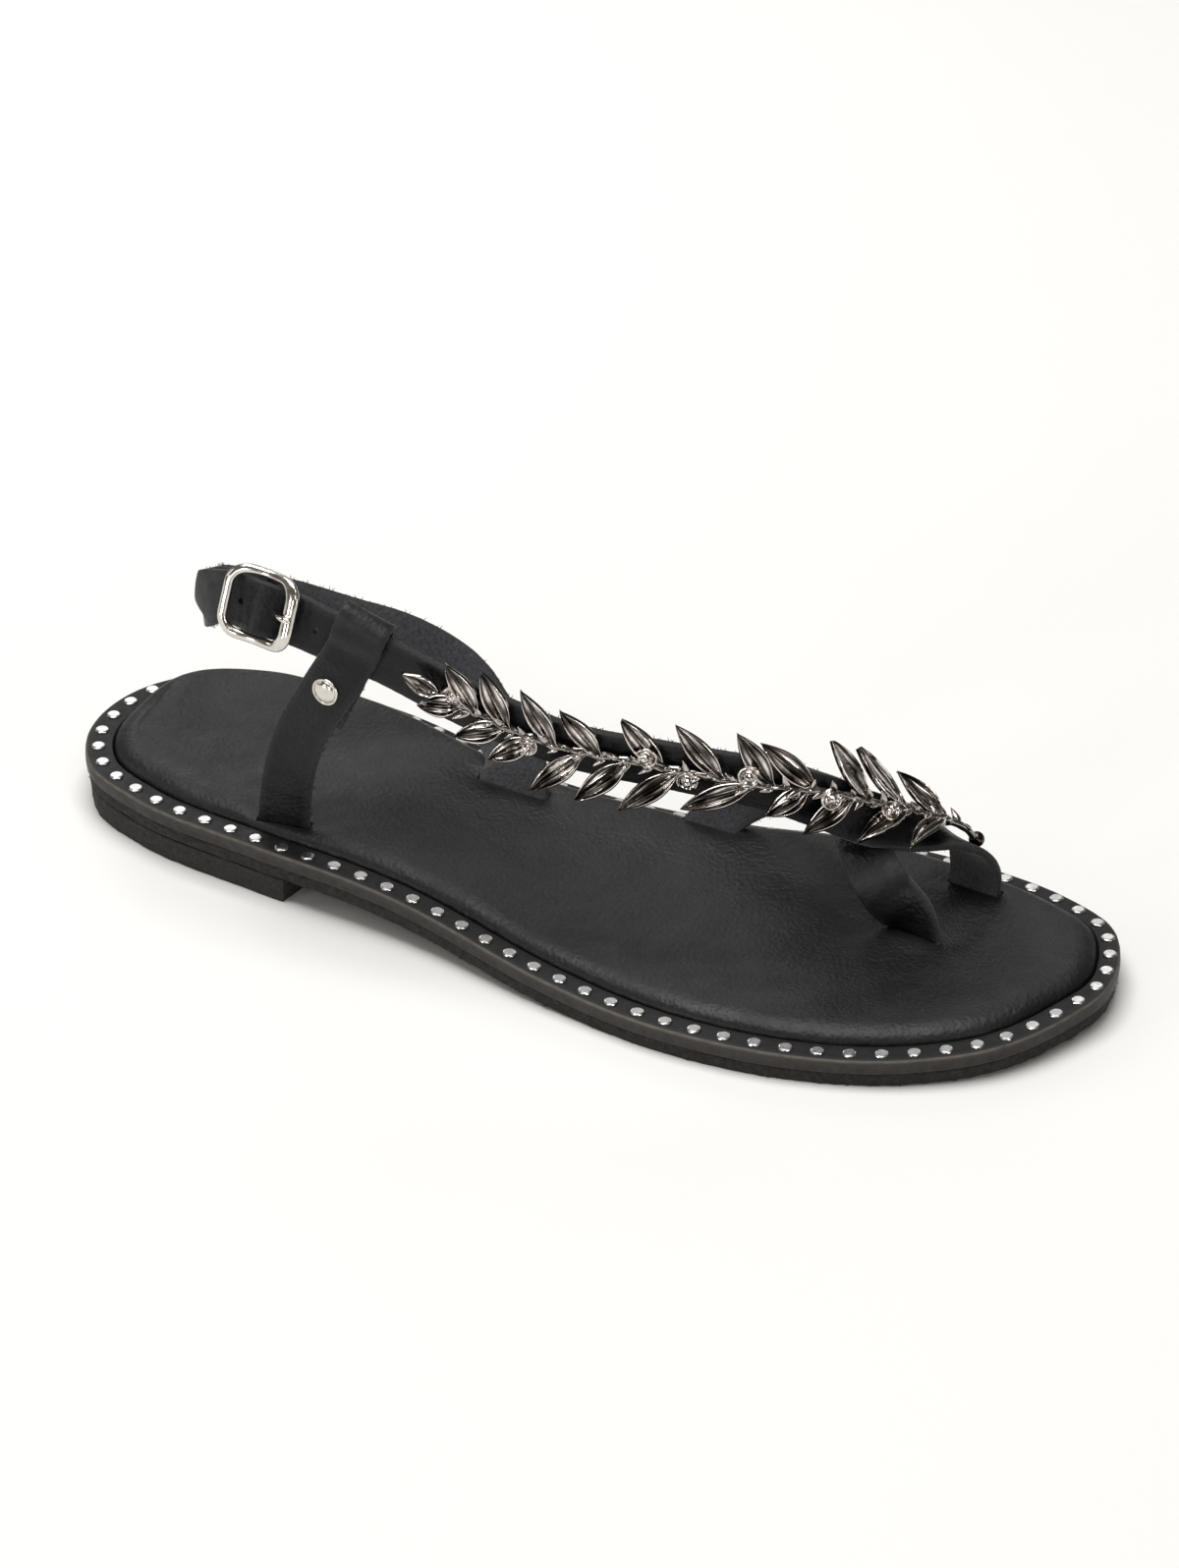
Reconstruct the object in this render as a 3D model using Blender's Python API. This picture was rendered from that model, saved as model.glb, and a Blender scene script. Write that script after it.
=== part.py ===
# Leather sandal for the right foot: low stacked sole with a welt strip, padded insole,
# crossed straps with a keeper loop, a centre-bar buckle and a cast spray of leaves.
# Metres, +X to the toe, +Y to the medial side, +Z up; the origin is under the middle of the sole.
import math

import bmesh
import bpy
import numpy as np

for leftover in list(bpy.data.objects):
    bpy.data.objects.remove(leftover, do_unlink=True)

# Driving sizes in millimetres
MM = 0.001
GAP = 0.3
SOLE_LENGTH = 259.0
HEEL_HEIGHT = 6.5
HEEL_BREAST_LATERAL = 71.0
HEEL_BREAST_MEDIAL = 79.0
HEEL_INSET = 0.9
HEEL_TAPER = 0.5
ARCH_START = 74.0
ARCH_END = 165.0
TOE_SPRING = 2.0
TOE_SPRING_START = 215.0
OUTSOLE_THICK = 3.2
OUTSOLE_INSET = 0.7
OUTSOLE_CHAMFER = 0.5
WELT_THICK = 3.5
WELT_WIDTH = 6.6
WELT_WIDTH_MEDIAL = 5.0
WELT_BEVEL = 0.5
MEDIAL_SIDE = 20.0
INSOLE_CROWN = 3.0
INSOLE_MEDIAL_RISE = 2.5
INSOLE_HEEL_RISE = 1.2
INSOLE_ROUND = 5.2
INSOLE_DISH = 1.4
FULL_DISH_WIDTH = 38.0
HEEL_CUP_START = 55.0
HEEL_CUP_END = 105.0
MEDIAL_RISE_START = 175.0
MEDIAL_RISE_END = 235.0
STRAP_WIDTH = 12.6
STRAP_THICK = 2.0
HEEL_STRAP_THICK = 1.8
HEEL_FOOT_WIDTH = 17.0
HEEL_FOOT_START = 16.0
HEEL_FOOT_END = 5.0
SLIT_REACH = 11.0
SLIT_GAP = 0.7
SAMPLE_STEP = 3.0
FOLD_STEP = 1.5
OUTLINE_STEPS = 4
INSOLE_ROUND_SHARES = (0.1, 0.35, 0.65, 1.0)
INSOLE_COLUMNS = 3
CORNER_STEPS = 4
HOLE_SIDES = 14
FRAME_SIDES = 8
BAR_SIDES = 10
STEM_SIDES = 6
BALL_SIDES = 8
TURNED_SIDES = 20

# Welt outline: distance from the heel back, then the lateral and medial edge beside the axis
SOLE_STATIONS = [
    # along, lateral, medial
    (0.0, 0.0, 0.0),
    (2.2, -12.0, 12.2),
    (10.0, -23.4, 23.9),
    (28.0, -31.6, 33.5),
    (60.0, -35.7, 33.8),
    (105.0, -38.5, 27.1),
    (145.0, -45.6, 35.2),
    (180.0, -48.6, 45.9),
    (208.0, -44.3, 48.6),
    (232.0, -33.6, 45.6),
    (248.0, -19.7, 37.8),
    (256.4, -2.0, 24.0),
    (259.0, 11.0, 11.0),
]
WELT_JOINT_STATION = 3

# Centre line of the long strap from the toe over the instep, through keeper and buckle, round the heel.
# The grain side faces the compass angle (0 toe, 90 medial, -90 lateral) and the angle above level.
STRAP_LINE = [
    # place, x, y, z, facing, rise
    ("toe slit", 84.2, 35.2, 8.0, 92, 0),
    ("toe leg", 84.0, 35.6, 15.0, 88, 2),
    ("toe bend", 81.8, 34.4, 20.6, 72, 30),
    ("over toe band", 76.6, 30.0, 25.2, 40, 40),
    ("crossing", 71.0, 23.6, 28.8, 8, 38),
    ("rising", 65.4, 15.6, 33.8, -20, 28),
    ("instep front", 59.2, 6.6, 41.0, -40, 14),
    ("instep low", 51.2, -1.0, 46.6, -56, 4),
    ("instep", 31.0, -9.8, 50.4, -71, -4),
    ("instep back", 5.5, -18.6, 54.0, -79, -8),
    ("side front", -15.0, -23.4, 60.2, -84, -2),
    ("keeper", -39.5, -25.6, 67.6, -89, 0),
    ("before buckle", -54.0, -28.0, 71.8, -89, 8),
    ("buckle", -66.6, -29.6, 75.2, -88, 19),
    ("tail", -80.0, -27.4, 73.2, -104, 14),
    ("heel side", -87.6, -21.0, 66.4, -130, 4),
    ("heel back", -92.6, -9.4, 60.0, -163, -8),
    ("heel turn", -92.0, 2.8, 54.0, 166, -18),
    ("heel inner", -85.6, 11.0, 49.0, 138, -28),
    ("medial high", -73.5, 18.6, 43.6, 116, -34),
    ("medial", -60.0, 23.8, 39.6, 105, -34),
    ("medial low", -46.5, 25.6, 33.4, 92, -34),
    ("medial foot", -35.5, 21.6, 26.2, 80, -34),
    ("medial stem", -26.6, 14.8, 21.2, 90, -30),
    ("heel slit", -25.0, 12.2, 13.8, 98, -16),
]

# Centre line of the toe band from its slit beside the ball to its slit at the toe gap
TOE_BAND = [
    # place, x, y, z, facing, rise
    ("ball slit", 18.5, 24.6, 8.0, 95, -20),
    ("ball leg", 21.0, 27.4, 14.0, 95, -18),
    ("medial run", 28.0, 30.4, 20.8, 92, -4),
    ("medial", 40.0, 31.0, 25.6, 88, 6),
    ("toe side", 50.4, 27.8, 28.2, 76, 24),
    ("under strap", 59.4, 20.4, 28.8, 60, 62),
    ("over toe", 65.6, 14.4, 27.2, -40, 80),
    ("toe fold", 70.2, 11.2, 23.0, -48, 46),
    ("gap fall", 74.2, 11.6, 17.6, -62, 16),
    ("gap leg", 79.0, 13.0, 12.4, -90, 6),
    ("gap slit", 80.6, 13.6, 6.6, -98, 0),
]

# Side upright: outer leg, fold over the long strap, inner leg down past the rivet
UPRIGHT = [
    # place, x, y, z, facing, rise
    ("side slit", -65.2, -25.2, 12.4, -82, 0),
    ("foot", -64.7, -25.4, 20.0, -85, 2),
    ("shin", -60.6, -26.6, 38.0, -92, 2),
    ("rivet", -50.6, -28.5, 57.0, -92, 0),
    ("keeper foot", -46.6, -28.3, 64.0, -82, 0),
    ("keeper outside", -44.2, -28.0, 68.6, -82, -6),
    ("keeper high", -42.5, -28.9, 72.6, -82, 0),
    ("keeper shoulder", -41.4, -28.4, 75.7, -68, 38),
    ("keeper top", -41.3, -26.1, 77.3, 4, 66),
    ("inside shoulder", -41.9, -23.8, 75.9, 84, 38),
    ("inside high", -42.9, -23.6, 73.0, 98, 0),
    ("keeper inside", -44.7, -24.6, 68.6, 98, 4),
    ("inside foot", -47.3, -25.2, 64.1, 99, 0),
    ("inner leg", -50.0, -25.6, 57.8, 92, -2),
    ("inner end", -54.8, -24.9, 48.0, 90, 2),
]
RIVET_PLACE = "rivet"

# The long strap's weave through the buckle: distance past the centre bar and depth outside the strap line
LONG_WEAVE = [
    # past, depth
    (-24.0, 0.0),
    (-16.0, 0.0),
    (-9.4, 0.0),
    (-7.0, 0.3),
    (-3.5, 1.9),
    (0.0, 3.2),
    (3.5, 2.1),
    (6.0, 0.95),
    (8.4, 0.7),
    (10.9, 1.9),
    (14.4, 2.4),
    (19.4, 2.6),
]
TAIL_POINT = 4.0
TAIL_TIP_SHARE = 0.25

# The heel strap from the end of its turned-back layer, round the centre bar and out to the heel
HEEL_WEAVE = [
    # past, depth, thick
    (18.0, -3.4, 1.4),
    (15.5, -3.5, 1.6),
    (10.5, -3.6, 1.6),
    (7.6, -3.8, 1.6),
    (3.6, -2.7, 1.3),
    (0.4, -1.6, 1.0),
    (-1.4, -1.0, 1.0),
    (-1.9, 0.0, 1.0),
    (-1.3, 1.1, 1.0),
    (0.2, 1.4, 1.0),
    (3.6, -0.1, 1.2),
    (7.6, -1.6, 1.6),
    (10.5, -1.4, 1.6),
    (15.5, -1.2, 1.7),
    (20.0, -0.5, 1.8),
    (26.0, 0.0, 1.8),
]
HEEL_FOLD_STEPS = 44
HEEL_RIVET_PAST = 14.2
HEEL_RIVET_FRONT = -0.3
HEEL_RIVET_BACK = -5.0

# Centre-bar buckle
BUCKLE_LENGTH = 19.0
BUCKLE_WIDTH = 18.0
BUCKLE_CORNER = 4.2
BUCKLE_WIRE = 1.1
BUCKLE_END_DEPTH = 3.4
BUCKLE_SIDE_DEPTH = 1.5
BUCKLE_BAR_DEPTH = 0.0
BUCKLE_BAR_RADIUS = 0.75
PRONG_RADIUS = 0.65
PRONG_PATH = [
    # past, depth
    (1.6, 0.35),
    (0.9, -1.35),
    (-0.9, -1.35),
    (-1.75, 0.0),
    (-2.6, 0.9),
    (-4.6, 2.9),
    (-7.0, 4.9),
    (-8.6, 5.4),
    (-10.0, 5.1),
]
PRONG_STEPS = 22
STRAP_HOLE_RADIUS = 1.0
STRAP_HOLES_PAST = [-13.5, 4.6]

# Rivets: domed cap outside, shank, flanged ring back inside
CAP_RADIUS = 3.5
CAP_RISE = 1.5
CAP_PROFILE = [
    # share of the radius, share of the rise
    (0.5, 0.86),
    (0.86, 0.5),
    (1.0, 0.0),
]
SHANK_RADIUS = 1.2
SHANK_BORE = 0.8
BACK_RADIUS = 2.9
BACK_THICK = 0.7
BACK_TAPER = 0.4
LOW_HEAD_RISE = 0.6
UPRIGHT_RIVET_BACK = -4.1
SPRAY_RIVET_RADIUS = 2.0
SPRAY_RIVET_PLACES = [28.0, 58.0, 88.0, 122.0]

# Cast spray: a stem on the strap's grain side that sways across it, leaves with their tips to the heel
STEM_RADIUS = 1.2
STEM_SWAY = [
    # along, across, lift
    (11.4, 1.2, 0.9),
    (20.0, 0.6, 0.9),
    (31.0, 2.6, 0.5),
    (45.0, 3.2, 0.3),
    (58.0, 2.8, 0.2),
    (70.0, 0.8, 0.0),
    (90.0, 1.0, 0.0),
    (107.0, 1.4, 0.0),
    (125.0, 0.6, 0.0),
    (147.0, 1.0, 0.0),
]
END_BEAD_RADIUS = 1.9
BERRY_RADIUS = 1.8
BERRY_LIFT = 0.6
BERRIES = [
    # along, beside the stem
    (37.0, -1.0),
    (55.0, -1.4),
    (74.0, 2.4),
    (87.0, -2.0),
    (97.0, 2.4),
    (124.0, -2.2),
    (143.0, 1.8),
]
LEAF_WIDTH = 5.0
LEAF_THICK = 0.9
LEAF_UNDER = 0.45
UPPER_LEAVES = [
    # along, length, swing, lift
    (20.4, 16.0, 32, 16),
    (32.0, 18.5, 40, 8),
    (43.8, 19.0, 29, 2),
    (59.0, 18.5, 18, 0),
    (68.5, 16.5, 40, 0),
    (79.0, 17.5, 46, 2),
    (92.5, 15.5, 41, 1),
    (107.0, 16.0, 51, 4),
    (117.5, 17.5, 50, 4),
    (129.0, 16.0, 51, 5),
    (136.5, 15.5, 42, 6),
    (146.0, 10.5, 18, 16),
]
LOWER_LEAVES = [
    # along, length, swing, lift
    (20.6, 18.0, 46, 2),
    (30.8, 17.0, 35, 2),
    (49.2, 16.0, 46, 2),
    (61.0, 12.0, 46, 16),
    (72.2, 18.0, 28, 8),
    (88.9, 17.0, 40, 22),
    (100.6, 15.5, 42, 22),
    (111.0, 15.5, 44, 18),
    (122.8, 12.0, 42, 19),
    (129.7, 12.0, 29, 18),
    (140.5, 10.5, 18, 20),
]
LEAF_STATIONS = [
    # along the leaf, share of the width
    (0.0, 0.30),
    (0.18, 0.62),
    (0.42, 1.0),
    (0.66, 0.86),
    (0.86, 0.46),
    (1.0, 0.08),
]

# Finishes: sRGB-like colours, roughness, metallic
FINISHES = {
    # colour, roughness, metallic
    "sole leather board": ((0.030, 0.029, 0.028), 0.75, 0.0),
    "heel rubber": ((0.022, 0.022, 0.022), 0.80, 0.0),
    "welt board": ((0.045, 0.043, 0.042), 0.60, 0.0),
    "padded leather": ((0.020, 0.020, 0.021), 0.45, 0.0),
    "strap leather": ((0.012, 0.012, 0.013), 0.40, 0.0),
    "nickel": ((0.72, 0.70, 0.67), 0.18, 1.0),
    "gunmetal": ((0.22, 0.21, 0.21), 0.22, 1.0),
}


# Curves through rows

def curve_at(knots, rows, at):
    """Smooth curve through rows at their knots, read at the given positions."""
    slopes = np.gradient(rows, knots, axis=0)
    left = np.clip(np.searchsorted(knots, at, side="right") - 1, 0, len(knots) - 2)
    step = (knots[left + 1] - knots[left])[:, None]
    u = (at - knots[left])[:, None] / step
    start = (2 * u**3 - 3 * u**2 + 1) * rows[left] + (u**3 - 2 * u**2 + u) * step * slopes[left]
    end = (3 * u**2 - 2 * u**3) * rows[left + 1] + (u**3 - u**2) * step * slopes[left + 1]
    return start + end


def chord_knots(points):
    steps = np.linalg.norm(np.diff(points, axis=0), axis=1)
    return np.concatenate([[0.0], np.cumsum(steps)])


def unit(vectors):
    return vectors / np.linalg.norm(vectors, axis=-1, keepdims=True)


def facing_vectors(rows):
    facing = np.radians([row[4] for row in rows])
    rise = np.radians([row[5] for row in rows])
    flat = np.cos(rise)
    return np.stack([flat * np.cos(facing), flat * np.sin(facing), np.sin(rise)], axis=1)


class StrapLine:
    """A strap's centre line with its running, width and outward directions at any distance along."""

    def __init__(self, rows):
        self.places = {row[0]: index for index, row in enumerate(rows)}
        self.rows = np.array([row[1:4] for row in rows], dtype=float)
        self.facing = facing_vectors(rows)
        self.knots = chord_knots(self.rows)
        self.length = self.knots[-1]

    def distance(self, place):
        return self.knots[self.places[place]]

    def frame(self, along):
        along = np.atleast_1d(np.asarray(along, dtype=float))
        nudge = 0.2
        points = curve_at(self.knots, self.rows, along)
        ahead = curve_at(self.knots, self.rows, np.clip(along + nudge, 0, self.length))
        behind = curve_at(self.knots, self.rows, np.clip(along - nudge, 0, self.length))
        run = unit(ahead - behind)
        faces = curve_at(self.knots, self.facing, along)
        across = unit(np.cross(run, faces))
        out = np.cross(across, run)
        return points, run, across, out

    def spaced(self, start, end, step=SAMPLE_STEP):
        count = max(2, int(round((end - start) / step)) + 1)
        return np.linspace(start, end, count)

    def at(self, along):
        """Point and directions at one distance."""
        return (values[0] for values in self.frame(along))


# Meshes

def finish(name):
    if name in bpy.data.materials:
        return bpy.data.materials[name]
    colour, roughness, metallic = FINISHES[name]
    material = bpy.data.materials.new(name)
    material.use_nodes = True
    shader = material.node_tree.nodes["Principled BSDF"]
    shader.inputs["Base Color"].default_value = (*colour, 1.0)
    shader.inputs["Roughness"].default_value = roughness
    shader.inputs["Metallic"].default_value = metallic
    return material


def solid(name, points, faces, look):
    """Closed mesh object from points in millimetres, with its faces turned outwards."""
    mesh = bpy.data.meshes.new(name)
    mesh.from_pydata([tuple(float(c) * MM for c in p) for p in points], [], faces)
    body = bmesh.new()
    body.from_mesh(mesh)
    bmesh.ops.recalc_face_normals(body, faces=body.faces)
    body.to_mesh(mesh)
    body.free()
    mesh.materials.append(finish(look))
    thing = bpy.data.objects.new(name, mesh)
    bpy.context.collection.objects.link(thing)
    return thing


def combine(target, tool, operation):
    """Boolean of two solids; the tool is used up."""
    step = target.modifiers.new(operation.title(), "BOOLEAN")
    step.operation = operation
    step.object = tool
    step.solver = "EXACT"
    graph = bpy.context.evaluated_depsgraph_get()
    result = bpy.data.meshes.new_from_object(target.evaluated_get(graph))
    target.modifiers.remove(step)
    target.data = result
    bpy.data.objects.remove(tool, do_unlink=True)


def lofted(name, sections, look, closed=False):
    """Solid through sections with equal point counts, capped unless it closes on itself."""
    sides = len(sections[0])
    count = len(sections)
    points = [p for section in sections for p in section]
    faces = []
    for i in range(count if closed else count - 1):
        a = i * sides
        b = ((i + 1) % count) * sides
        for j in range(sides):
            k = (j + 1) % sides
            faces.append((a + j, a + k, b + k, b + j))
    if not closed:
        faces.append(tuple(range(sides)))
        faces.append(tuple(range((count - 1) * sides, count * sides)))
    return solid(name, points, faces, look)


def strip(name, centres, across, widths, thicks, look):
    """Leather strip: a flat section carried along its centre line."""
    run = unit(np.gradient(centres, axis=0))
    across = unit(across - run * np.sum(across * run, axis=1, keepdims=True))
    out = np.cross(across, run)
    side = across * (np.asarray(widths) / 2)[:, None]
    face = out * (np.asarray(thicks) / 2)[:, None]
    corners = np.stack([centres + side + face, centres - side + face,
                        centres - side - face, centres + side - face], axis=1)
    return lofted(name, list(corners), look)


def rod(name, centres, across, radius, sides, look, closed=False):
    """Round wire along a path whose plane is square to the across direction."""
    if closed:
        run = unit(np.roll(centres, -1, axis=0) - np.roll(centres, 1, axis=0))
    else:
        run = unit(np.gradient(centres, axis=0))
    first = unit(across - run * np.sum(across * run, axis=1, keepdims=True))
    second = np.cross(run, first)
    angles = np.arange(sides) * 2 * math.pi / sides
    sections = [[c + radius * (math.cos(a) * f + math.sin(a) * s) for a in angles]
                for c, f, s in zip(centres, first, second)]
    return lofted(name, sections, look, closed)


def turned(name, profile, centre, axis, look, sides=TURNED_SIDES):
    """Solid turned about an axis; the profile starts and ends on it."""
    axis = unit(np.asarray(axis, dtype=float))
    helper = np.array([1.0, 0.0, 0.0]) if abs(axis[0]) < 0.8 else np.array([0.0, 1.0, 0.0])
    first = unit(np.cross(axis, helper))
    second = np.cross(axis, first)
    points = [centre + axis * profile[0][1]]
    for radius, height in profile[1:-1]:
        for j in range(sides):
            a = j * 2 * math.pi / sides
            points.append(centre + axis * height + radius * (math.cos(a) * first + math.sin(a) * second))
    points.append(centre + axis * profile[-1][1])
    rings = len(profile) - 2
    last = len(points) - 1
    faces = []
    for j in range(sides):
        k = (j + 1) % sides
        faces.append((0, 1 + k, 1 + j))
        faces.append((last, 1 + (rings - 1) * sides + j, 1 + (rings - 1) * sides + k))
        for r in range(rings - 1):
            a = 1 + r * sides
            faces.append((a + j, a + k, a + sides + k, a + sides + j))
    return solid(name, points, faces, look)


# Sole outline and profile

def sole_outline(inset):
    """Closed outline from the heel back along the lateral side to the toe and back, moved inwards."""
    rows = np.array(SOLE_STATIONS)
    x = rows[:, 0] - SOLE_LENGTH / 2
    lateral = np.stack([x, rows[:, 1]], axis=1)
    medial = np.stack([x, rows[:, 2]], axis=1)
    loop = np.concatenate([lateral, medial[-2:0:-1]])
    wrap = 3
    padded = np.concatenate([loop[-wrap:], loop, loop[:wrap]])
    knots = chord_knots(padded)
    spans = range(wrap, wrap + len(loop))
    parts = np.arange(OUTLINE_STEPS) / OUTLINE_STEPS
    at = np.concatenate([knots[i] + parts * (knots[i + 1] - knots[i]) for i in spans])
    points = curve_at(knots, padded, at)
    run = unit(np.roll(points, -1, axis=0) - np.roll(points, 1, axis=0))
    inwards = np.stack([-run[:, 1], run[:, 0]], axis=1)
    return points + inwards * np.reshape(inset, (-1, 1))


def smooth_step(value):
    t = np.clip(value, 0.0, 1.0)
    return t * t * (3 - 2 * t)


def sole_lift(x):
    """Height of the sole's underside above the floor: heel seat, arch, flat ball and toe spring."""
    along = x + SOLE_LENGTH / 2
    heel = HEEL_HEIGHT * (1 - smooth_step((along - ARCH_START) / (ARCH_END - ARCH_START)))
    spring = np.clip((along - TOE_SPRING_START) / (SOLE_LENGTH - TOE_SPRING_START), 0.0, 1.0)
    return heel + TOE_SPRING * spring**2


def welt_width():
    """Width of the welt at each outline point: narrower along the medial side."""
    medial = smooth_step(sole_outline(0.0)[:, 1] / MEDIAL_SIDE)
    return WELT_WIDTH + (WELT_WIDTH_MEDIAL - WELT_WIDTH) * medial


def insole_crown(plan):
    """Height of the padded edge above the welt: fuller along the medial side and the inner heel."""
    along = plan[:, 0] + SOLE_LENGTH / 2
    heel = 1 - smooth_step((along - HEEL_CUP_START) / (HEEL_CUP_END - HEEL_CUP_START))
    behind_toe = 1 - smooth_step((along - MEDIAL_RISE_START) / (MEDIAL_RISE_END - MEDIAL_RISE_START))
    medial = behind_toe * smooth_step(plan[:, 1] / MEDIAL_SIDE)
    inner_heel = heel * smooth_step((plan[:, 1] / MEDIAL_SIDE + 1) / 2)
    return INSOLE_CROWN + INSOLE_HEEL_RISE * inner_heel + INSOLE_MEDIAL_RISE * medial


def ring(inset, height):
    flat = sole_outline(inset)
    return np.column_stack([flat, sole_lift(flat[:, 0]) + height])


def ladder(first, count, columns=None):
    """Faces that span a ring from its lateral to its medial side, through any inner columns."""
    half = count // 2
    faces = []
    for k in range(half):
        lat, lat_next = first + k, first + k + 1
        med, med_next = first + (count - k) % count, first + count - k - 1
        row = [lat, *(columns[k - 1] if columns and k > 0 else []), med]
        row_next = [lat_next, *(columns[k] if columns and k < half - 1 else []), med_next]
        if k == 0:
            row = [lat]
        if k == half - 1:
            row_next = [lat_next]
        if len(row) == len(row_next):
            faces += [(row[j], row[j + 1], row_next[j + 1], row_next[j]) for j in range(len(row) - 1)]
        else:
            apex, fan = (row[0], row_next) if len(row) == 1 else (row_next[0], row)
            faces += [(apex, fan[j], fan[j + 1]) for j in range(len(fan) - 1)]
    return faces


def ringed(name, rings, look, dish=0.0, columns=0):
    """Solid stacked from outline rings; its top may have inner columns that sag by the dish."""
    count = len(rings[0])
    points = [p for loop in rings for p in loop]
    faces = ladder(0, count)
    for r in range(len(rings) - 1):
        a = r * count
        for j in range(count):
            k = (j + 1) % count
            faces.append((a + j, a + k, a + count + k, a + count + j))
    top = (len(rings) - 1) * count
    inner = []
    for row in range(1, count // 2 if columns else 1):
        lateral, medial = rings[-1][row], rings[-1][count - row]
        span = min(1.0, np.linalg.norm(medial - lateral) / FULL_DISH_WIDTH)
        inner.append([])
        for c in range(columns):
            share = (c + 1) / (columns + 1)
            sag = np.array([0.0, 0.0, 4 * dish * span * share * (1 - share)])
            inner[-1].append(len(points))
            points.append(lateral * (1 - share) + medial * share - sag)
    faces += ladder(top, count, inner)
    return solid(name, points, faces, look)


WELT_BASE = OUTSOLE_THICK + GAP
WELT_TOP = WELT_BASE + WELT_THICK


def make_outsole():
    edge, chamfer = OUTSOLE_INSET, OUTSOLE_CHAMFER
    ringed("outsole", [ring(edge + chamfer, 0.0), ring(edge, chamfer), ring(edge, OUTSOLE_THICK)],
           "sole leather board")


def make_heel():
    """Heel block with a straight breast under the flat heel seat."""
    sections = []
    for inset, height in ((HEEL_INSET + HEEL_TAPER, None), (HEEL_INSET, -GAP)):
        flat = sole_outline(inset)
        half = len(flat) // 2
        breast = np.array([HEEL_BREAST_LATERAL, HEEL_BREAST_MEDIAL]) - SOLE_LENGTH / 2
        lateral = [p for p in flat[:half] if p[0] < breast[0]]
        medial = [p for p in flat[half:] if p[0] < breast[1]]
        corners = []
        for inner, outer, stop in ((lateral[-1], flat[len(lateral)], breast[0]),
                                   (medial[0], flat[-len(medial) - 1], breast[1])):
            share = (stop - inner[0]) / (outer[0] - inner[0])
            corners.append(inner + share * (outer - inner))
        loop = lateral + corners + medial
        sections.append([(p[0], p[1], 0.0 if height is None else sole_lift(p[0]) + height) for p in loop])
    lofted("heel", sections, "heel rubber")


def make_welt():
    """Welt strip laid round the sole, its two ends butted at the medial heel quarter."""
    corners = [(0.0, WELT_BASE), (0.0, WELT_TOP - WELT_BEVEL), (WELT_BEVEL, WELT_TOP),
               (welt_width(), WELT_TOP), (welt_width(), WELT_BASE)]
    loops = [ring(inset, height) for inset, height in corners]
    count = len(loops[0])
    joint = count - WELT_JOINT_STATION * OUTLINE_STEPS
    sections = [[loop[(joint + i) % count] for loop in loops] for i in range(count + 1)]
    for end, inner in ((0, 1), (-1, -2)):
        sections[end] = [p + unit(q - p) * GAP / 2 for p, q in zip(sections[end], sections[inner])]
    lofted("welt", sections, "welt board")


def make_insole():
    """Padded insole: upright wall inside the welt, rounded pillow edge, slightly dished top."""
    wall = welt_width() + GAP
    crown = insole_crown(sole_outline(wall))
    rings = [ring(wall, WELT_BASE), ring(wall, WELT_TOP - GAP)]
    for share in INSOLE_ROUND_SHARES:
        rise = crown * math.sqrt(1 - (1 - share)**2)
        rings.append(ring(wall + INSOLE_ROUND * share, WELT_TOP - GAP + rise + GAP * share))
    return ringed("insole", rings, "padded leather", INSOLE_DISH, INSOLE_COLUMNS)


# Straps

def strap_tip(along, end):
    """Strap width that runs to a shallow point over the last few millimetres."""
    share = TAIL_TIP_SHARE + (1 - TAIL_TIP_SHARE) * (end - along) / TAIL_POINT
    return STRAP_WIDTH * np.clip(share, TAIL_TIP_SHARE, 1.0)


def woven(past):
    """Depth of the long strap outside its line, at distances past the buckle's centre bar."""
    rows = np.array(LONG_WEAVE)
    inside = np.clip(past, rows[0, 0], rows[-1, 0])
    return curve_at(rows[:, 0], rows[:, 1:], inside)


def make_long_strap(line):
    bar = line.distance("buckle")
    weave = bar + LONG_WEAVE[0][0]
    end = bar + LONG_WEAVE[-1][0]
    along = np.concatenate([line.spaced(0.0, weave), line.spaced(weave, end - TAIL_POINT, FOLD_STEP)[1:],
                            [end - TAIL_POINT / 2, end]])
    points, run, across, out = line.frame(along)
    centres = points + out * woven(along - bar)
    thick = np.full(len(along), STRAP_THICK)
    return strip("upper", centres, across, strap_tip(along, end), thick, "strap leather")


def make_band(line, name, step):
    along = line.spaced(0.0, line.length, step)
    points, run, across, out = line.frame(along)
    size = np.ones(len(along))
    return strip(name, points, across, size * STRAP_WIDTH, size * STRAP_THICK, "strap leather")


def make_heel_strap(line):
    """Heel strap: turned-back layer, fold round the centre bar, then the run round the heel."""
    bar = line.distance("buckle")
    weave = np.array(HEEL_WEAVE)
    knots = chord_knots(weave[:, :2])
    folded = curve_at(knots, weave, np.linspace(0.0, knots[-1], HEEL_FOLD_STEPS))
    points, run, across, out = line.frame(bar + folded[:, 0])
    start = points + out * folded[:, 1:2]
    along = line.spaced(bar + weave[-1, 0], line.length)[1:]
    points, run, across_run, out = line.frame(along)
    centres = np.concatenate([start, points])
    to_end = line.length - np.concatenate([np.full(len(start), bar), along])
    flare = smooth_step((HEEL_FOOT_START - to_end) / (HEEL_FOOT_START - HEEL_FOOT_END))
    widths = STRAP_WIDTH + (HEEL_FOOT_WIDTH - STRAP_WIDTH) * flare
    thicks = np.concatenate([folded[:, 2], np.full(len(points), HEEL_STRAP_THICK)])
    return strip("heel_strap", centres, np.concatenate([across, across_run]), widths, thicks, "strap leather")


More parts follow.
